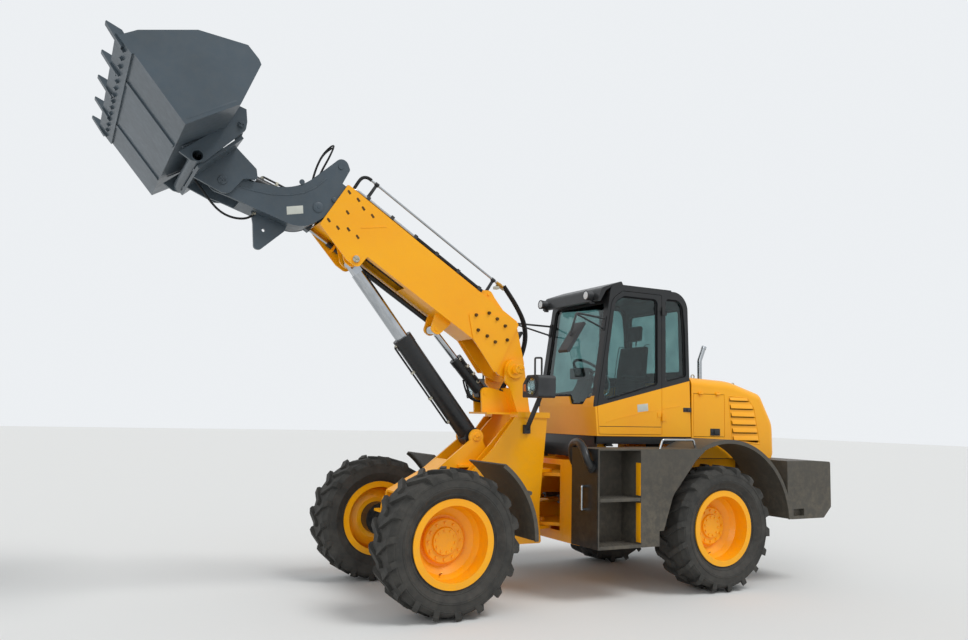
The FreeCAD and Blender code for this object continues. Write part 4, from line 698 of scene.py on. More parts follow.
# %% Pipes along the boom's top
TOP_W = 417  # the boom's top face
PIPE_W, PIPE_Y = 620, 80
pipe_run = [on_boom(500, PIPE_Y, PIPE_W + 6), on_boom(1200, PIPE_Y, PIPE_W), on_boom(2080, PIPE_Y, PIPE_W)]
pipes("boom_pipe", [pipe_run], 22, pipe_steel, "outer_boom")
front_bend = [(2070, PIPE_W), (2105, PIPE_W + 2), (2150, PIPE_W - 30), (2158, PIPE_W - 90), (2150, TOP_W)]
pipes("boom_pipe_elbow", [[on_boom(u, PIPE_Y, w) for u, w in front_bend]], 30, hose_rubber, "outer_boom")
bm = bmesh.new()
turned(bm, on_boom(560, PIPE_Y, PIPE_W + 6), -ALONG_BOOM,
       [(0, 13), (4, 16), (24, 16), (28, 19), (58, 19), (62, 15), (80, 15), (84, 0)], 6)
finish_piece("pipe_union", bm, brass, "outer_boom", 20)

# each stand-off is a plate 10 mm thick with a sleeve round the pipe
SLEEVE_ROWS = [(0, 11), (0, 17), (2, 18), (38, 18), (40, 17), (40, 11)]
bm = bmesh.new()
for u, rise in ((600, 3), (2010, 0)):
    outline = [(u - 34, TOP_W), (u + 34, TOP_W), (u + 14, TOP_W + 70), (u + 14, PIPE_W), (u - 14, PIPE_W),
               (u - 14, TOP_W + 70)]
    pushed(bm, [on_boom(a, PIPE_Y - 5, w) for a, w in outline], (0, 0.01, 0), 0.001)
    turned(bm, on_boom(u - 20, PIPE_Y, PIPE_W + rise), ALONG_BOOM, SLEEVE_ROWS, 16, hoop=True)
finish_piece("pipe_stand_offs", bm, black, "outer_boom")

# four hoses lie on the boom's rear half and go on as four steel pipes to its mouth
HOSE_ROW_Y = (140, 104, 44, 8)
HOSE_LINE = [(660, 18), (1000, 18), (1480, 18)]
STEEL_LINE = [(1470, 18), (1800, 18), (2110, 18), (2142, 10), (2150, 0)]
for name, line, diameter, finish in (("boom_hoses", HOSE_LINE, 34, hose_rubber),
                                     ("boom_steel_pipes", STEEL_LINE, 24, pipe_steel)):
    runs = [[on_boom(u, y, TOP_W + w) for u, w in line] for y in HOSE_ROW_Y]
    pipes(name, runs, diameter, finish, "outer_boom")

CLAMP_TALL = 38
bm = bmesh.new()
seeds = []
for u in (700, 960, 1220, 1470, 1740, 2010):
    for y in (122, 26):
        corners = [on_boom(u + a * 17, y + b * 37, TOP_W) for a, b in ((-1, -1), (1, -1), (1, 1), (-1, 1))]
        pushed(bm, corners, OVER_BOOM * CLAMP_TALL, 0.004)
        seeds.append((on_boom(u, y, TOP_W + CLAMP_TALL), OVER_BOOM, 15))
finish_piece("hose_clamps", bm, moulded, "outer_boom")
grow("hose_clamp_bolts", BOLTS, seeds, zinc, "outer_boom")
print("pipe length: %.2f m" % (pipe_run[-1] - pipe_run[0]).length)

# %% Hoses
def route_length(points):
    """Length of the smooth route, measured on its own line, and that line's places."""
    line = curve_mesh(smooth_route(points))
    path = [vertex.co.copy() for vertex in line.vertices]
    return sum((b - a).length for a, b in zip(path, path[1:])), path


def hose(name, points, diameter, body, blended=None):
    """A hydraulic hose held at both ends; with blended given it rides on no body, and the second body and
    places in blended are not used.
    """
    length, path = route_length(points)
    piece = pipes(name, [points], diameter, hose_rubber, None if blended else body)
    if blended:
        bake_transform(piece)
    print("hose %s: %.2f m long, %d mm thick" % (name, length, diameter))
    return piece


def union(nut, neck, nut_end, neck_end):
    """Rows of a hose's end: a nut, then a narrower neck; radii and places along it in mm."""
    return [(0, nut), (nut_end, nut), (nut_end + 2, neck), (neck_end, neck), (neck_end + 2, 0)]


# the pair swings from the pipe's union round the boom's tail and down into the tower
swing = [(-905, 2812), (-985, 2720), (-1070, 2610), (-1146, 2482), (-1172, 2330), (-1142, 2190),
         (-1080, 2052), (-1000, 1940), (-935, 1850), (-905, 1760), (-900, 1680), (-900, 1612)]
for name, y_top, y_low, shift in (("tower_hose_a", 80, 44, 0), ("tower_hose_b", 52, 16, 9)):
    step = (y_low - y_top) / (len(swing) - 1)
    points = [at(x + shift, y_top + step * i, z) for i, (x, z) in enumerate(swing)]
    hose(name, points, 25, "front_frame", ("outer_boom", at(-1060, 0, 2010), at(-1130, 0, 2480)))

bm = bmesh.new()
for x, y in ((-900, 44), (-891, 16)):
    turned(bm, at(x, y, 1607.5), UP, union(17, 14, 18, 46), 6)
finish_piece("tower_hose_unions", bm, zinc, "front_frame", 20)
bm = bmesh.new()
turned(bm, on_boom(478, 52, PIPE_W + 5), on_boom(-1, 0, 0.1) - on_boom(0, 0, 0),
       [(-60, 12), (0, 15), (30, 15), (32, 0)], 6)
block(bm, (-842, 40, 2772), (-800, 92, 2800), 3)
finish_piece("second_union", bm, zinc, "outer_boom", 20)

# two short hoses cross over the bucket's cylinder between two blocks on the gooseneck's cheeks
BLOCK_Z = 3480
ARCH_Z = 3805  # centre of the arch that each hose makes over the cylinder
ARCHES = {"gooseneck_hose_a": 98, "gooseneck_hose_b": 77}  # radius, and place on the cheeks
CORNER = 0.414  # where the corners of an octagon round the arch lie, as a share of its radius
for name, half in ARCHES.items():
    rise = [(968, half, BLOCK_Z), (962, half, 3560), (932, half, 3660), (895, half, 3755),
            (858, half, ARCH_Z + half * CORNER), (824, half * CORNER, ARCH_Z + half)]
    lean = [0, 2, 12, 20, 17, 7]  # one leg leans back and the other forward
    back = [(x - d, y, z) for (x, y, z), d in zip(rise, lean)]
    forward = [(x + d, -y, z) for (x, y, z), d in zip(rise, lean)]
    hose(name, [at(*point) for point in back + forward[::-1]], 15, "inner_boom")
bm = bmesh.new()
for s in (1, -1):
    side_block(bm, s, (938, 60, BLOCK_Z - 34), (998, 115.5, BLOCK_Z), 3)
    for half in ARCHES.values():
        turned(bm, at(968, s * half, BLOCK_Z - 1), UP, union(12, 10, 14, 34), 6)
finish_piece("gooseneck_hose_blocks", bm, zinc, "inner_boom", 20)

# one hose hangs under the coupler's pivot; it is a fixed tube that rides on no body
UNDER_Y = 30
under = [(1462, 3199), (1500, 3160), (1573, 3138), (1665, 3144), (1750, 3182), (1822, 3252), (1880, 3325),
         (1930, 3384), (1951, 3412)]
hose("coupler_hose", [at(x, UNDER_Y, z) for x, z in under], 19, "inner_boom",
     ("bucket", at(1640, 0, 3145), at(1870, 0, 3310)))
bm = bmesh.new()
turned(bm, at(1462, UNDER_Y, 3206), (0.5, 0, -0.5), union(14, 11, 14, 34), 6)
finish_piece("coupler_hose_union", bm, zinc, "inner_boom", 20)

# two hoses climb from the tower's deck to the compensation cylinder's underside
FEED_Y = 24
rising = [(-826, 1606), (-822, 1650), (-790, 1692), (-724, 1706), (-655, 1712), (-600, 1748), (-570, 1806),
          (-550, 1862), (-541, 1902)]
for name, y in (("compensation_hose_left", FEED_Y), ("compensation_hose_right", -FEED_Y)):
    hose(name, [at(x, y, z) for x, z in rising], 17, "front_frame",
         ("compensation_barrel", at(-720, 0, 1706), at(-580, 0, 1800)))
print("hoses done")

# %% Gooseneck details
GOOSE_Y = 139.8  # just inside the gooseneck's outer faces, so that what lies on them is seated
groove = [(1615, 3378), (1500, 3362), (1350, 3354), (1205, 3371), (1080, 3412), (980, 3478), (899, 3564)]
bm = bmesh.new()
for s in (1, -1):
    line = [at(x, s * 139.6, z) for x, z in groove]
    for start, end in zip(line, line[1:]):
        strip(bm, start, end, s, 12, 3.5, 1.2)
finish_piece("gooseneck_weld", bm, slate, "inner_boom")
bm = bmesh.new()
side_plate(bm, [(1222, 3200), (1229, 3268), (1092, 3298), (1085, 3230)], GOOSE_Y, 1.6, 0.5)
finish_piece("gooseneck_plate", bm, blank_plate, "inner_boom")
bm = bmesh.new()
for s in (1, -1):
    for x, y, z, r in ((960, GOOSE_Y, 3300, 46), (825, GOOSE_Y + 7, 3384, 20)):
        turned(bm, at(x, s * y, z), (0, s, 0), [(0, r), (6, r), (8, r - 3), (8, 12), (11, 9), (11, 0)], 28)
finish_piece("gooseneck_pin_caps", bm, slate, "inner_boom")
print("gooseneck done")

# %% [markdown]
# ## Cab outside
# Rubber gaskets hold the glass, a pressed line runs along the door under its window,
# and the plate there stays blank. The latch is a black paddle. Thin strips that stand
# a little proud catch the light the way a pressed panel does.

# %% Gaskets, door and latches
GLASS_OUT_Y = 475


def inset_loop(points, gap):
    """The closed outline moved inwards by gap mm, in its own plane."""
    middle = sum(points, Vector()) / len(points)
    out = []
    for before, point, after in zip(points[-1:] + points[:-1], points, points[1:] + points[:1]):
        a, b = (before - point).normalized(), (after - point).normalized()
        inward = (a + b).normalized()
        if inward.dot(middle - point) < 0:
            inward = -inward
        out.append(point + inward * gap / 1000 / max(0.3, math.sin(a.angle(b) / 2)))
    return out


def cut_corners(points, reach):
    """Two points for each corner, so that a closed smooth line follows the straight sides."""
    out = []
    for before, point, after in zip(points[-1:] + points[:-1], points, points[1:] + points[:1]):
        out += elbows([before, point, after], reach)[1:-1]
    return out


door_window = [(-1756, 1730), (-1900, 2700), (-2010, 2765), (-2423, 2765), (-2423, 1915)]
quarter_window = [(-2525, 2780), (-2742, 2780), (-2775, 2500), (-2790, 2010), (-2525, 1945)]
right_window = [(-1790, 1800), (-1905, 2700), (-2440, 2780), (-2440, 1900)]
windshield = [(-430, 1790), (40, 1790), (90, 1705), (300, 1705), (345, 1765), (430, 1765), (430, 2700),
              (-430, 2700)]
rear_window = [(-400, 2050), (400, 2050), (400, 2700), (-400, 2700)]
WINDSHIELD_SLOPE = 0.1529


def gasket(corners, reach=55):
    """The middle line of a gasket that lies 6 mm inside a window's edge."""
    return cut_corners(inset_loop(corners, 6), reach)


def side_window(rows, y):
    return gasket([at(x, y, z) for x, z in rows])


runs = [side_window(door_window, GLASS_OUT_Y)]
pipes("window_gaskets_door", runs, 16, seal_rubber, "cab_door", closed=True)
slope = [at(-1691 - (z - 1700) * WINDSHIELD_SLOPE, y, z) for y, z in windshield]
runs = [side_window(quarter_window, GLASS_OUT_Y), side_window(quarter_window, -GLASS_OUT_Y),
        side_window(right_window, -GLASS_OUT_Y), gasket([at(-2800, y, z) for y, z in rear_window]),
        gasket(slope, 40)]
pipes("window_gaskets_cab", runs, 16, seal_rubber, "rear_frame", closed=True)


SKIN_Y = 499.7  # just inside the cab's outer panels
crease = [(-1800, 1540), (-1865, 1561), (-2244, 1641), (-2472, 1678)]
line = [at(x, SKIN_Y, z) for x, z in crease]
bm = bmesh.new()
for start, end in zip(line, line[1:]):
    strip(bm, start, end, 1, 9, 2.4, 0.96)
finish_piece("door_crease", bm, yellow, "cab_door")
bm = bmesh.new()
for s in (1, -1):
    strip(bm, at(-2484, s * SKIN_Y, 1680), at(-2700, s * SKIN_Y, 1716), s, 9, 2.4, 0.96)
finish_piece("cab_crease", bm, yellow, "rear_frame")
bm = bmesh.new()
strip(bm, at(-1722, SKIN_Y + 0.1, 1500), at(-2468, SKIN_Y + 0.1, 1503), 1, 5, 0.9, 0.36)
finish_piece("door_joint", bm, seal_rubber, "cab_door")
bm = bmesh.new()
side_plate(bm, [(-2175, 1642), (-2303, 1657), (-2298, 1729), (-2169, 1714)], SKIN_Y + 0.1, 1.8, 0.6)
finish_piece("door_plate", bm, blank_plate, "cab_door")
bm = bmesh.new()
block(bm, (-2850, 499.5, 1657), (-2748, 505, 1700), 2)
block(bm, (-2842, 504, 1664), (-2790, 516, 1692), 5)
turned(bm, at(-2768, 504, 1679), (0, 1, 0), [(0, 13), (4, 13), (6, 11), (6, 0)], 20)
finish_piece("cab_latch", bm, moulded, "rear_frame")
for side_name, s in (("left", 1), ("right", -1)):
    bm = bmesh.new()
    side_block(bm, s, (-3234, 499.5, 1426), (-3106, 506, 1497), 3)
    side_block(bm, s, (-3222, 505, 1440), (-3150, 517, 1483), 5)
    turned(bm, at(-3128, s * 505, 1461), (0, s, 0), [(0, 11), (3, 11), (5, 9), (5, 0)], 20)
    finish_piece("hood_latch_" + side_name, bm, moulded, "hood_door_" + side_name)

# a black channel carries the cab's floor over its mounts, with a black plate in front: partly a real frame
# and mounts, partly painted shade under the cab
MOUNT_ROWS = [(0, 44), (8, 46), (14, 36), (20, 36), (26, 44), (26, 0)]
bm = bmesh.new()
for s in (1, -1):
    side_block(bm, s, (-2842, 440, 1336), (-1706, 474, 1409.4), 3)
    for x in (-2690, -1860):
        turned(bm, at(x, s * 456, 1313), UP, MOUNT_ROWS, 28)
# this black plate across the front is painted shade under the cab's floor
block(bm, (-1716, -474, 1200), (-1706, 474, 1409.4), 2)
finish_piece("cab_floor_frame_and_shade", bm, black, "rear_frame")

# the inside handle is a chromed bow behind the door's glass
handle = [at(-1768, 462, 1992), at(-1822, 446, 2004), at(-1868, 440, 1950), at(-1880, 440, 1860),
          at(-1842, 446, 1790), at(-1742, 462, 1786)]
pipes("door_inside_handle", [handle], 20, chrome, "cab_door")
print("cab outside done")

# %% [markdown]
# ## Seat
# The seat is foam under woven cloth. A foam cushion bulges between its edges, so each
# one starts as a slightly small slab whose skin is then blown out by a few
# millimetres of cloth pressure, and piping is sewn round its edge afterwards. The
# base is a rubber bellows over the seat's spring.

# %% Cushions
SWELL = 0.010
VOXEL = 0.011
PRESS_STEPS = 20


def cushion(name, outline, half, finish, body):
    """A foam cushion: an (x, z) outline, half its width in mm; it swells by SWELL metres at most."""
    bm = bmesh.new()
    small = inset_loop([at(x, -half + 9, z) for x, z in outline], 9)
    pushed(bm, small, (0, (2 * half - 18) / 1000, 0), 0.022)
    bmesh.ops.recalc_face_normals(bm, faces=bm.faces)
    mesh = bpy.data.meshes.new(name)
    bm.to_mesh(mesh)
    bm.free()
    piece = place_object(name, mesh)
    remesh = piece.modifiers.new("skin", "REMESH")
    remesh.mode = "VOXEL"
    remesh.voxel_size = VOXEL
    cover = evaluated_mesh(piece)
    piece.modifiers.clear()
    piece.data = cover
    scene = bpy.context.scene
    press = piece.modifiers.new("swell", "CLOTH")
    press.settings.use_pressure = True
    press.settings.uniform_pressure_force = 4.0
    press.settings.effector_weights.gravity = 0.0
    press.settings.tension_stiffness = 25
    press.settings.bending_stiffness = 2
    for frame_number in range(1, PRESS_STEPS + 1):
        scene.frame_set(frame_number)
    blown = evaluated_mesh(piece)
    for rest, moved in zip(cover.vertices, blown.vertices):
        step = moved.co - rest.co
        if step.length > SWELL:
            step = step.normalized() * SWELL
        rest.co = rest.co + step
    piece.modifiers.clear()
    scene.frame_set(1)
    fine = piece.modifiers.new("smooth", "SUBSURF")
    fine.levels = 1
    fine.render_levels = 1
    done = evaluated_mesh(piece)
    bpy.data.objects.remove(piece)
    padded = finish_piece(name, done, finish, body, 180)
    return padded


BELLOWS_TOP = 1684
seat_bottom = [(-2068, 1700), (-2062, 1786), (-2100, 1800), (-2500, 1790), (-2516, 1700)]
seat_rest = [(-2404, 1800), (-2440, 2080), (-2486, 2340), (-2574, 2340), (-2548, 2080), (-2516, 1800)]
seat_head = [(-2484, 2372), (-2506, 2552), (-2576, 2552), (-2562, 2372)]
cushions = [cushion("seat_cushion", seat_bottom, 228, seat_cloth, "rear_frame"),
            cushion("seat_backrest", seat_rest, 218, seat_cloth, "rear_frame"),
            cushion("seat_headrest", seat_head, 118, seat_cloth, "rear_frame")]
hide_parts("seat")
print("cushions:", [len(c.data.vertices) for c in cushions])

# %% Seat base and piping
BELLOWS_LOW, FOLD, FOLDS, BELLOWS_SECTORS = 1462, 36, 6, 24
waves = []
for i in range(FOLDS):
    z = BELLOWS_LOW + i * FOLD
    waves += [(z, 0.92), (z + FOLD / 2, 1.0)]
bm = bmesh.new()
rings = []
for z, share in waves + [(BELLOWS_TOP, 0.92)]:
    ring = []
    for i in range(BELLOWS_SECTORS):
        turn = 2 * math.pi * i / BELLOWS_SECTORS
        c, s = math.cos(turn), math.sin(turn)
        wide = share / max(abs(c), abs(s)) ** 0.75
        ring.append(bm.verts.new(at(-2318 + 186 * c * wide, 176 * s * wide, z)))
    rings.append(ring)
skin(bm, rings)
finish_piece("seat_bellows", bm, hose_rubber, "rear_frame", 25)
bm = bmesh.new()
block(bm, (-2516, -186, 1450.2), (-2124, 186, 1463), 3)
block(bm, (-2512, -212, BELLOWS_TOP - 4), (-2090, 212, 1702), 4)
for s in (1, -1):
    turned(bm, at(-2500, s * 60, 2330), (-0.13, 0, 1), [(0, 7), (60, 7), (62, 0)], 12)
    turned(bm, at(-2470, s * 226, 1790), (0, s, 0), [(-14, 34), (6, 34), (10, 30), (10, 0)], 24)
finish_piece("seat_frame", bm, moulded, "rear_frame")
bottom_seam = [(-2070, 1716), (-2066, 1768), (-2078, 1790), (-2110, 1796), (-2480, 1788)]
rest_seam = [(-2412, 1810), (-2440, 2060), (-2482, 2310), (-2500, 2338), (-2550, 2340)]
runs = [[at(x, y, z) for x, z in seam] for seam, y in
        ((bottom_seam, 221), (bottom_seam, -221), (rest_seam, 211), (rest_seam, -211))]
pipes("seat_piping", runs, 7, moulded, "rear_frame")
bm = bmesh.new()
armrest = [(-2180, 1962), (-2176, 1990), (-2200, 2004), (-2480, 2004), (-2500, 1984), (-2490, 1962)]
for s in (1, -1):
    side_plate(bm, armrest, min(s * 238, s * 292), 54, 9)
    side_block(bm, s, (-2492, 216, 1940), (-2458, 244, 1984), 4)
finish_piece("seat_armrests", bm, moulded, "rear_frame")
print("seat done")

# %% [markdown]
# ## Inside the cab
# What shows through the glass: a side console with its lever, a cluster of plain round
# gauges on the column, pedals and a ribbed rubber mat. The ribs follow a rule, so they
# are grown like the bolts.

# %% Console, cluster, pedals and mat
bm = bmesh.new()
console = [(-2020, 1452), (-1990, 1640), (-2040, 1760), (-2500, 1800), (-2560, 1790), (-2560, 1452)]
side_plate(bm, console, -446, 150, 14)
finish_piece("side_console", bm, moulded, "rear_frame")
joystick = [(0, 38), (10, 34), (18, 38), (28, 28), (36, 31), (46, 20), (60, 12), (130, 10), (140, 17),
            (190, 21), (214, 18), (224, 8), (226, 0)]
lever = [(0, 16), (8, 14), (60, 6), (90, 6), (94, 13), (118, 13), (124, 0)]
bm = bmesh.new()
turned(bm, at(-2090, -372, 1762), UP, joystick, 24)
turned(bm, at(-2300, -372, 1784), UP, lever, 18)
finish_piece("side_levers", bm, wheel_grip, "rear_frame")
bm = bmesh.new()
block(bm, (-1880, -120, 1962), (-1800, 120, 2072), 12)
finish_piece("gauge_housing", bm, moulded, "rear_frame")
bm = bmesh.new()
for y, r in ((-62, 36), (34, 44), (96, 16)):
    turned(bm, at(-1880, y, 2016), (-1, 0, 0), [(-1, r + 5), (4, r + 5), (6, r), (2, r - 1), (2, 0)], 28)
finish_piece("gauges", bm, blank_plate, "rear_frame")
treadle = [(-1800, 1500), (-1812, 1512), (-1850, 1604), (-1838, 1598)]
pedal_stalk = [(-1772, 1450), (-1786, 1450), (-1836, 1560), (-1822, 1560)]
bm = bmesh.new()
for y in (-150, 132):
    side_plate(bm, treadle, y, 70, 3)
    side_plate(bm, pedal_stalk, y + 26, 18, 2)
finish_piece("pedals", bm, moulded, "rear_frame")
bm = bmesh.new()
turned(bm, at(-1972, 0, 2049), (-0.6, 0, 0.8), [(-18, 46), (0, 46), (8, 40), (10, 22), (10, 0)], 28)
turned(bm, at(-1932, 92, 1966), (-0.2, 1, 0.25), [(0, 6), (110, 6), (112, 9), (140, 9), (144, 0)], 12)
finish_piece("wheel_boss", bm, wheel_grip, "rear_frame")

MAT, given = new_tree("mat_ribs", {"Rib Height": 0.004, "Rib Width": 0.008})
rib = add(MAT, "ShaderNodeCombineXYZ", None,
          {"X": given.outputs["Rib Width"], "Y": 1.0, "Z": given.outputs["Rib Height"]}).outputs[0]
rib_box = add(MAT, "GeometryNodeMeshCube", None, {"Size": rib}).outputs[0]
scatter(MAT, given, rib_box, lengthwise=True)
seeds = [(at(-2090 + 18 * i, 255, 1457), UP, 340) for i in range(17)]
grow("mat_ribs", MAT, seeds, hose_rubber, "rear_frame")
bm = bmesh.new()
block(bm, (-2110, 80, 1450.2), (-1790, 430, 1456), 2)
finish_piece("floor_mat", bm, hose_rubber, "rear_frame")
print("interior done")

# %% [markdown]
# ## Hood, steps and rear
# Behind the slats sits a woven wire screen that keeps chaff out of the cooler. Steps
# are chequered with raised studs, so that a wet boot holds. The rest is small steel:
# lifting eyes, a rail on the fender, a grab handle, lamps at the back.

# %% Wire screens
# a real screen has 1 mm wires 8 mm apart; drawn 3.2 mm thick and 22 mm apart so that it shows
SCREEN, given = new_tree("wire_screen", {"Width": 0.3, "Height": 0.3, "Pitch": 0.022, "Wire": 0.0016})
wide, tall, pitch = (given.outputs[label] for label in ("Width", "Height", "Pitch"))
net = add(SCREEN, "GeometryNodeMeshGrid", None,
          {"Size X": wide, "Size Y": tall, "Vertices X": maths(SCREEN, "DIVIDE", wide, pitch),
           "Vertices Y": maths(SCREEN, "DIVIDE", tall, pitch)}).outputs[0]
lines = add(SCREEN, "GeometryNodeMeshToCurve", None, {"Mesh": net}).outputs[0]
section = add(SCREEN, "GeometryNodeCurvePrimitiveCircle", None,
              {"Resolution": 4, "Radius": given.outputs["Wire"]}).outputs[0]
woven = add(SCREEN, "GeometryNodeCurveToMesh", None,
            {"Curve": lines, "Profile Curve": section, "Fill Caps": True}).outputs[0]
scatter(SCREEN, given, woven)
for name, place, facing, wide, tall in (("hood_screen_left", at(-3570, 480, 1590), (0, 1, 0), 0.40, 0.36),
                                        ("hood_screen_right", at(-3570, -480, 1590), (0, -1, 0), 0.40, 0.36),
                                        ("radiator_screen", at(-4037, 0, 1409), (-1, 0, 0.02), 0.16, 0.70)):
    grow(name, SCREEN, [(place, facing, 1000)], black, "rear_frame", {"Width": wide, "Height": tall})
RIM_HALF = 9
corners = [(-340, 1318), (340, 1318), (340, 1500), (-340, 1500)]
bm = bmesh.new()
for (y0, z0), (y1, z1) in zip(corners, corners[1:] + corners[:1]):
    block(bm, (-4043, min(y0, y1) - RIM_HALF, min(z0, z1) - RIM_HALF),
          (-4030, max(y0, y1) + RIM_HALF, max(z0, z1) + RIM_HALF), 2)
finish_piece("radiator_screen_rim", bm, black, "rear_frame")

# %% Louvres
# the hood's slats are pressed louvres: each leans out over the gap below it
GRILLE_REAR = [(1826, -3614), (1813, -3625), (1720, -3710), (1355, -3789)]


def grille_ends(z):
    """Front and rear x of the grille's opening at a height."""
    front = -3369 - (1826 - z) * 0.111
    for (z1, x1), (z0, x0) in zip(GRILLE_REAR, GRILLE_REAR[1:]):
        if z >= z0:
            return front, x0 + (x1 - x0) * (z - z0) / (z1 - z0)
    return front, GRILLE_REAR[-1][1]


LOUVRES, LOUVRE_STEP, LOUVRE_TALL = 6, 82, 46
LOWEST_LOUVRE, GRILLE_TOP = 1426, 1826
bm = bmesh.new()
for s in (1, -1):
    for i in range(LOUVRES):
        top = LOWEST_LOUVRE + LOUVRE_STEP * i
        low = top - LOUVRE_TALL
        if top > GRILLE_TOP:
            top = GRILLE_TOP - 4
        blade = [(498.5, top), (502, top), (514, low + 6), (513, low), (509, low), (498.5, top - 12)]
        front, rear = grille_ends((top + low) / 2)
        front, rear = front - 6, rear + 8
        pushed(bm, [at(front, s * y, z) for y, z in blade], ((rear - front) / 1000, 0, 0), 0.0008)
finish_piece("hood_louvres", bm, yellow, "rear_frame")
surround = [(-3358, 1836), (-3630, 1824), (-3722, 1724), (-3802, 1342), (-3408, 1372)]
runs = [cut_corners([at(x, y, z) for x, z in surround], 22) for y in (499.5, -499.5)]
pipes("grille_surround", runs, 9, yellow, "rear_frame", closed=True)
print("louvres:", LOUVRES, "a side")

# %% Treads, rails and handles
STUDS, given = new_tree("tread_studs", {"Stud Radius": 0.5, "Stud Height": 0.35})
stud = add(STUDS, "GeometryNodeMeshCone", None,
           {"Vertices": 8, "Radius Top": 0.3, "Radius Bottom": given.outputs["Stud Radius"],
            "Depth": given.outputs["Stud Height"]}).outputs["Mesh"]
scatter(STUDS, given, stud)
TREAD_Z = (485, 885)
STUD_PITCH_X, STUD_PITCH_Y = 32, 36
seeds = []
for s in (1, -1):
    for z in TREAD_Z:
        for i in range(13):
            for j in range(7):
                x = -1790 + i * STUD_PITCH_X + (STUD_PITCH_X / 2 if j % 2 else 0)
                seeds.append((at(x, s * (752 + j * STUD_PITCH_Y), z), UP, 15))
grow("tread_studs", STUDS, seeds, graphite, "rear_frame")
bm = bmesh.new()
for s in (1, -1):
    for z in TREAD_Z:
        side_block(bm, s, (-1806, 985, z - 26), (-1372, 1000.5, z + 3), 2)
finish_piece("step_nosings", bm, graphite, "rear_frame")
bm = bmesh.new()
block(bm, (-1813.3, 932, 905), (-1810, 996, 1190), 0.8)
block(bm, (-1813.3, 932, 500), (-1810, 996, 842), 0.8)
finish_piece("step_bands", bm, yellow, "rear_frame")
rail = [(-2108, 900, 1306), (-2140, 900, 1392), (-2512, 900, 1392), (-2540, 900, 1310)]
grab = [(-1346, 826, 785), (-1300, 826, 785), (-1300, 826, 985), (-1346, 826, 985)]
for name, line, diameter, reach in (("fender_rails", rail, 22, 40), ("step_handles", grab, 24, 26)):
    runs = [elbows([at(x, s * y, z) for x, y, z in line], reach) for s in (1, -1)]
    pipes(name, runs, diameter, chrome, "rear_frame")
sleeve = [at(-1456, 520, 1140), at(-1400, 528, 1190), at(-1372, 560, 1330), at(-1345, 680, 1368),
          at(-1310, 800, 1345), at(-1288, 890, 1270), at(-1296, 920, 1190), at(-1346, 920, 1150)]
pipes("air_pipe", [sleeve], 72, black, "rear_frame")
bm = bmesh.new()
turned(bm, at(-1345.2, 920, 1150), (1, 0, 0.4), [(0, 52), (6, 52), (8, 44), (22, 42), (22, 0)], 28)
turned(bm, at(-1455.2, 520, 1141), (1, 0, 0.5), [(0, 50), (6, 50), (8, 43), (24, 42), (24, 0)], 28)
finish_piece("air_pipe_collars", bm, hose_rubber, "rear_frame")

# %% Hood fittings and rear lamps
bm = bmesh.new()
for x, z in ((-3036, 2004), (-3600, 1938)):
    for s in (1, -1):
        turned(bm, at(x - 21, s * 300, z + 24), (0, s, 0), bead(21, 6, 8), 24, hoop=True)
        turned(bm, at(x - 21, s * 300, z - 4), UP, [(0, 22), (5, 22), (8, 13), (12, 0)], 20)
finish_piece("lifting_eyes", bm, zinc, "rear_frame")
bm = bmesh.new()
for y in (406, -406):
    block(bm, (-4040, y - 40, 1326), (-4024, y + 40, 1452), 4)
finish_piece("rear_lamp_cases", bm, moulded, "rear_frame")
bm = bmesh.new()
for y in (406, -406):
    block(bm, (-4046, y - 33, 1333), (-4037, y + 33, 1445), 5)
finish_piece("rear_lamp_lenses", bm, red_lens, "rear_frame")
lip = [(-24, 24.5), (-24, 27), (3, 27), (3, 20), (-10, 20)]
bm = bmesh.new()
turned(bm, at(-3219, 300, 2349), (-0.4, 0, 0.9), lip, 28, hoop=True)
finish_piece("exhaust_tip", bm, chrome, "rear_frame")
print("hood and steps done")

# %% [markdown]
# ## Pins, ports and the bucket
# Each pivot pin is kept by a round cap with three bolts and greased through a small
# nipple on the cap. The cylinders' oil comes in through short steel pipes brazed along
# the barrel. The bucket's cutting edge is bolted on, and weld beads run along its back.

# %% Pin keepers and grease nipples
LIFT_FOOT, LIFT_EYE = (-610, 1380), (614, 2888)
COMPENSATION_FOOT, COMPENSATION_EYE = (-720, 1790), (-203, 2349)
TILT_FOOT, TILT_EYE = (960, 3300), (1593, 3522)
pins = [("front_frame", (-960, 310.3, 2010), 46), ("front_frame", (LIFT_FOOT[0], 145.3, LIFT_FOOT[1]), 40),
        ("outer_boom", (LIFT_EYE[0], 168.3, LIFT_EYE[1]), 32), ("bucket", (1762, 190.3, 3400), 38),
        ("bucket", (1701, 515.3, 3769), 26)]
CAP_FINISH = {"front_frame": yellow, "outer_boom": zinc, "bucket": slate}
keepers = {}
for body, (x, y, z), r in pins:
    bm, seeds = keepers.setdefault(body, (bmesh.new(), []))
    for s in (1, -1):
        cap = [(-0.5, r), (5, r), (8, r - 3), (8, 9), (12, 6), (16, 6), (16, 0)]
        turned(bm, at(x, s * y, z), (0, s, 0), cap, 32)
        seeds += bolt_circle(at(x, s * (y + 7.5), z), (0, s, 0), r * 0.62, 3, 14)
for body, (bm, seeds) in keepers.items():
    finish_piece("pin_caps_" + body, bm, CAP_FINISH[body], body)
    grow("pin_bolts_" + body, BOLTS, seeds, CAP_FINISH[body], body)


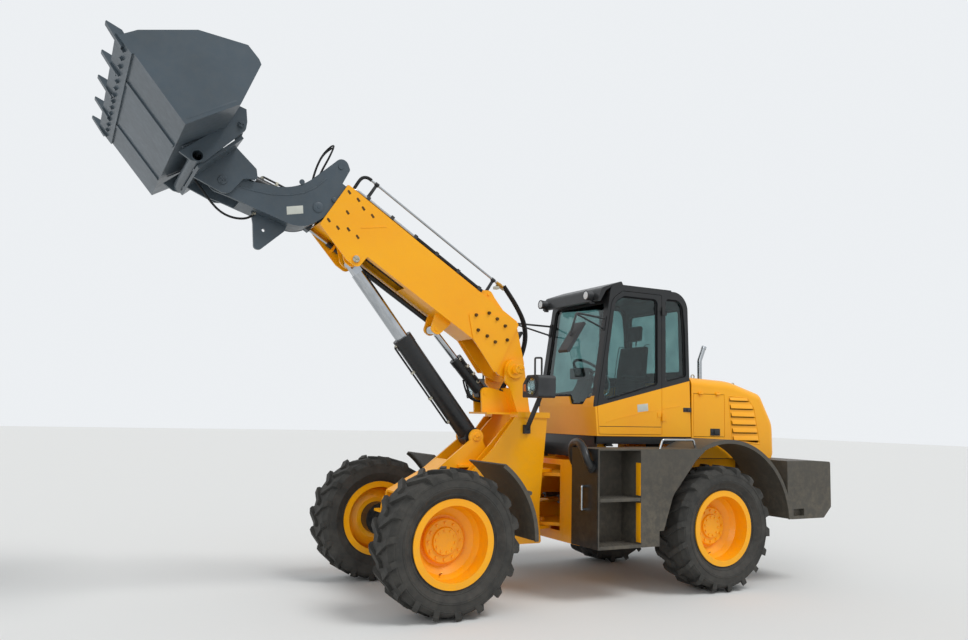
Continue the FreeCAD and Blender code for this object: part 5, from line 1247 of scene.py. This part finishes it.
def barrel_pipe(name, foot, eye, radius, reach, body, turn=0.0):
    """The steel oil pipe brazed along a cylinder's barrel; turn moves it round from the top, in degrees."""
    start = at(foot[0], 0, foot[1])
    along = (at(eye[0], 0, eye[1]) - start).normalized()
    over = Matrix.Rotation(math.radians(turn), 3, along) @ Vector((-along.z, 0, along.x))
    across = along.cross(over)
    near, far = reach

    def place(a, h):
        return start + along * a / 1000 + over * h / 1000

    line = [place(near, radius - 3), place(near, radius + 22), place(near + 60, radius + 22),
            place(far - 50, radius + 22), place(far, radius + 22), place(far, radius - 3)]
    pipes(name, [elbows(line, 22)], 18, black, body)
    bm = bmesh.new()
    for a in reach:
        turned(bm, place(a, radius - 8), over, [(0, 19), (14, 19), (16, 14), (26, 14), (26, 0)], 6)
    for share in (0.33, 0.67):
        middle = near + (far - near) * share
        corners = [place(middle + a, radius + h) for a, h in
                   ((-12, -4.4), (12, -4.4), (12, 32.8), (-12, 32.8))]
        pushed(bm, [corner - across * 0.017 for corner in corners], across * 0.034, 0.004)
    finish_piece(name + "_clips", bm, zinc, body, 20)


barrel_pipe("lift_oil_pipe", LIFT_FOOT, LIFT_EYE, 88, (240, 1090), "lift_barrel", 180)
barrel_pipe("compensation_oil_pipe", COMPENSATION_FOOT, COMPENSATION_EYE, 60, (120, 390),
            "compensation_barrel", -75)
barrel_pipe("tilt_oil_pipe", TILT_FOOT, TILT_EYE, 48, (110, 500), "tilt_barrel")

# %% Bucket
ORIGIN = on_bucket(0, 0, 0)
seeds = [(on_bucket(625, y, -14), on_bucket(0, 0, -1) - ORIGIN, 26) for y in range(-975, 1000, 150)]
grow("edge_bolts", BOLTS, seeds, slate, "bucket")
bm = bmesh.new()
for s in (1, -1):
    # a bar behind the back plate, and a pressed line down the side plate
    a, b = on_bucket(-14, s * 455, 60), on_bucket(-60, s * 455, 400)
    bar = Vector((0, 0.03, 0))
    pushed(bm, [a, b, b + bar, a + bar], on_bucket(-8, 0, 0) - ORIGIN, 0.002)
    a, b = on_bucket(22, s * 1064.6, 30), on_bucket(-40, s * 1064.6, 405)
    wide = on_bucket(16, 0, 0) - ORIGIN
    pushed(bm, [a, b, b + wide, a + wide], (0, s * 0.0012, 0), 0.0004)
finish_piece("bucket_seams", bm, slate, "bucket")
print("bucket bolts:", len(seeds))

# %% [markdown]
# ## Floor, light and camera
# A plain pale floor with a soft overcast light keeps the colours as written. The camera
# stands where the photographer stood, low beside the front wheel and a little ahead.

# %% Stage
FLOOR_HALF = 60.0
floor_mesh = bpy.data.meshes.new("floor")
corners = [(a * FLOOR_HALF, b * FLOOR_HALF, 0) for a, b in ((-1, -1), (1, -1), (1, 1), (-1, 1))]
floor_mesh.from_pydata(corners, [], [(0, 1, 2, 3)])
floor = place_object("floor", floor_mesh)
floor_paint, tree, shader, where = start_material("pale_floor")
feed(tree, shader, {"Base Color": linear("#E4E4E2"), "Roughness": 0.9})
floor.data.materials.append(floor_paint)

world = bpy.data.worlds.new("soft_sky")
bpy.context.scene.world = world
world.use_nodes = True
tree = world.node_tree
tree.nodes.clear()
path = add(tree, "ShaderNodeLightPath")
seen = maths(tree, "MAXIMUM", path.outputs["Is Camera Ray"], path.outputs["Is Transmission Ray"])
seen = maths(tree, "MAXIMUM", seen, path.outputs["Is Glossy Ray"])
strength = spread(tree, seen, 0.60, 0.95)
sky = add(tree, "ShaderNodeBackground", None, {"Color": linear("#F2F5F8"), "Strength": strength})
add(tree, "ShaderNodeOutputWorld", None, {"Surface": sky.outputs[0]})


def sun(name, direction, softness, strength):
    """A far lamp that lights the whole floor alike; softness is its angle in degrees."""
    light = bpy.data.lights.new(name, "SUN")
    light.angle = math.radians(softness)
    light.energy = strength
    place_object(name, light).rotation_euler = Vector(direction).to_track_quat("-Z", "Y").to_euler()


sun("key", (0.35, -0.55, -0.95), 24, 1.35)
sun("front", (-0.8, -0.6, -0.45), 40, 0.55)

EYE = Vector((3.599, 6.741, 1.581))
YAW, PITCH, ROLL = 0.4862, 0.117, 0.0237
look = Vector((-math.sin(YAW) * math.cos(PITCH), -math.cos(YAW) * math.cos(PITCH), math.sin(PITCH)))
right = look.cross(Vector((0, 0, 1))).normalized()
up = right.cross(look)
right_rolled = math.cos(ROLL) * right + math.sin(ROLL) * up
up_rolled = -math.sin(ROLL) * right + math.cos(ROLL) * up
camera_data = bpy.data.cameras.new("camera")
camera_data.lens = 30.02
camera_data.sensor_width = 36.0
camera_data.sensor_fit = "HORIZONTAL"
camera_data.clip_end = 300
camera = place_object("camera", camera_data)
turn = Matrix((right_rolled, up_rolled, -look)).transposed().to_4x4()
camera.matrix_world = Matrix.Translation(EYE) @ turn
bpy.context.scene.camera = camera
bpy.context.scene.view_settings.view_transform = "Standard"
print("camera at", tuple(round(c, 2) for c in EYE))
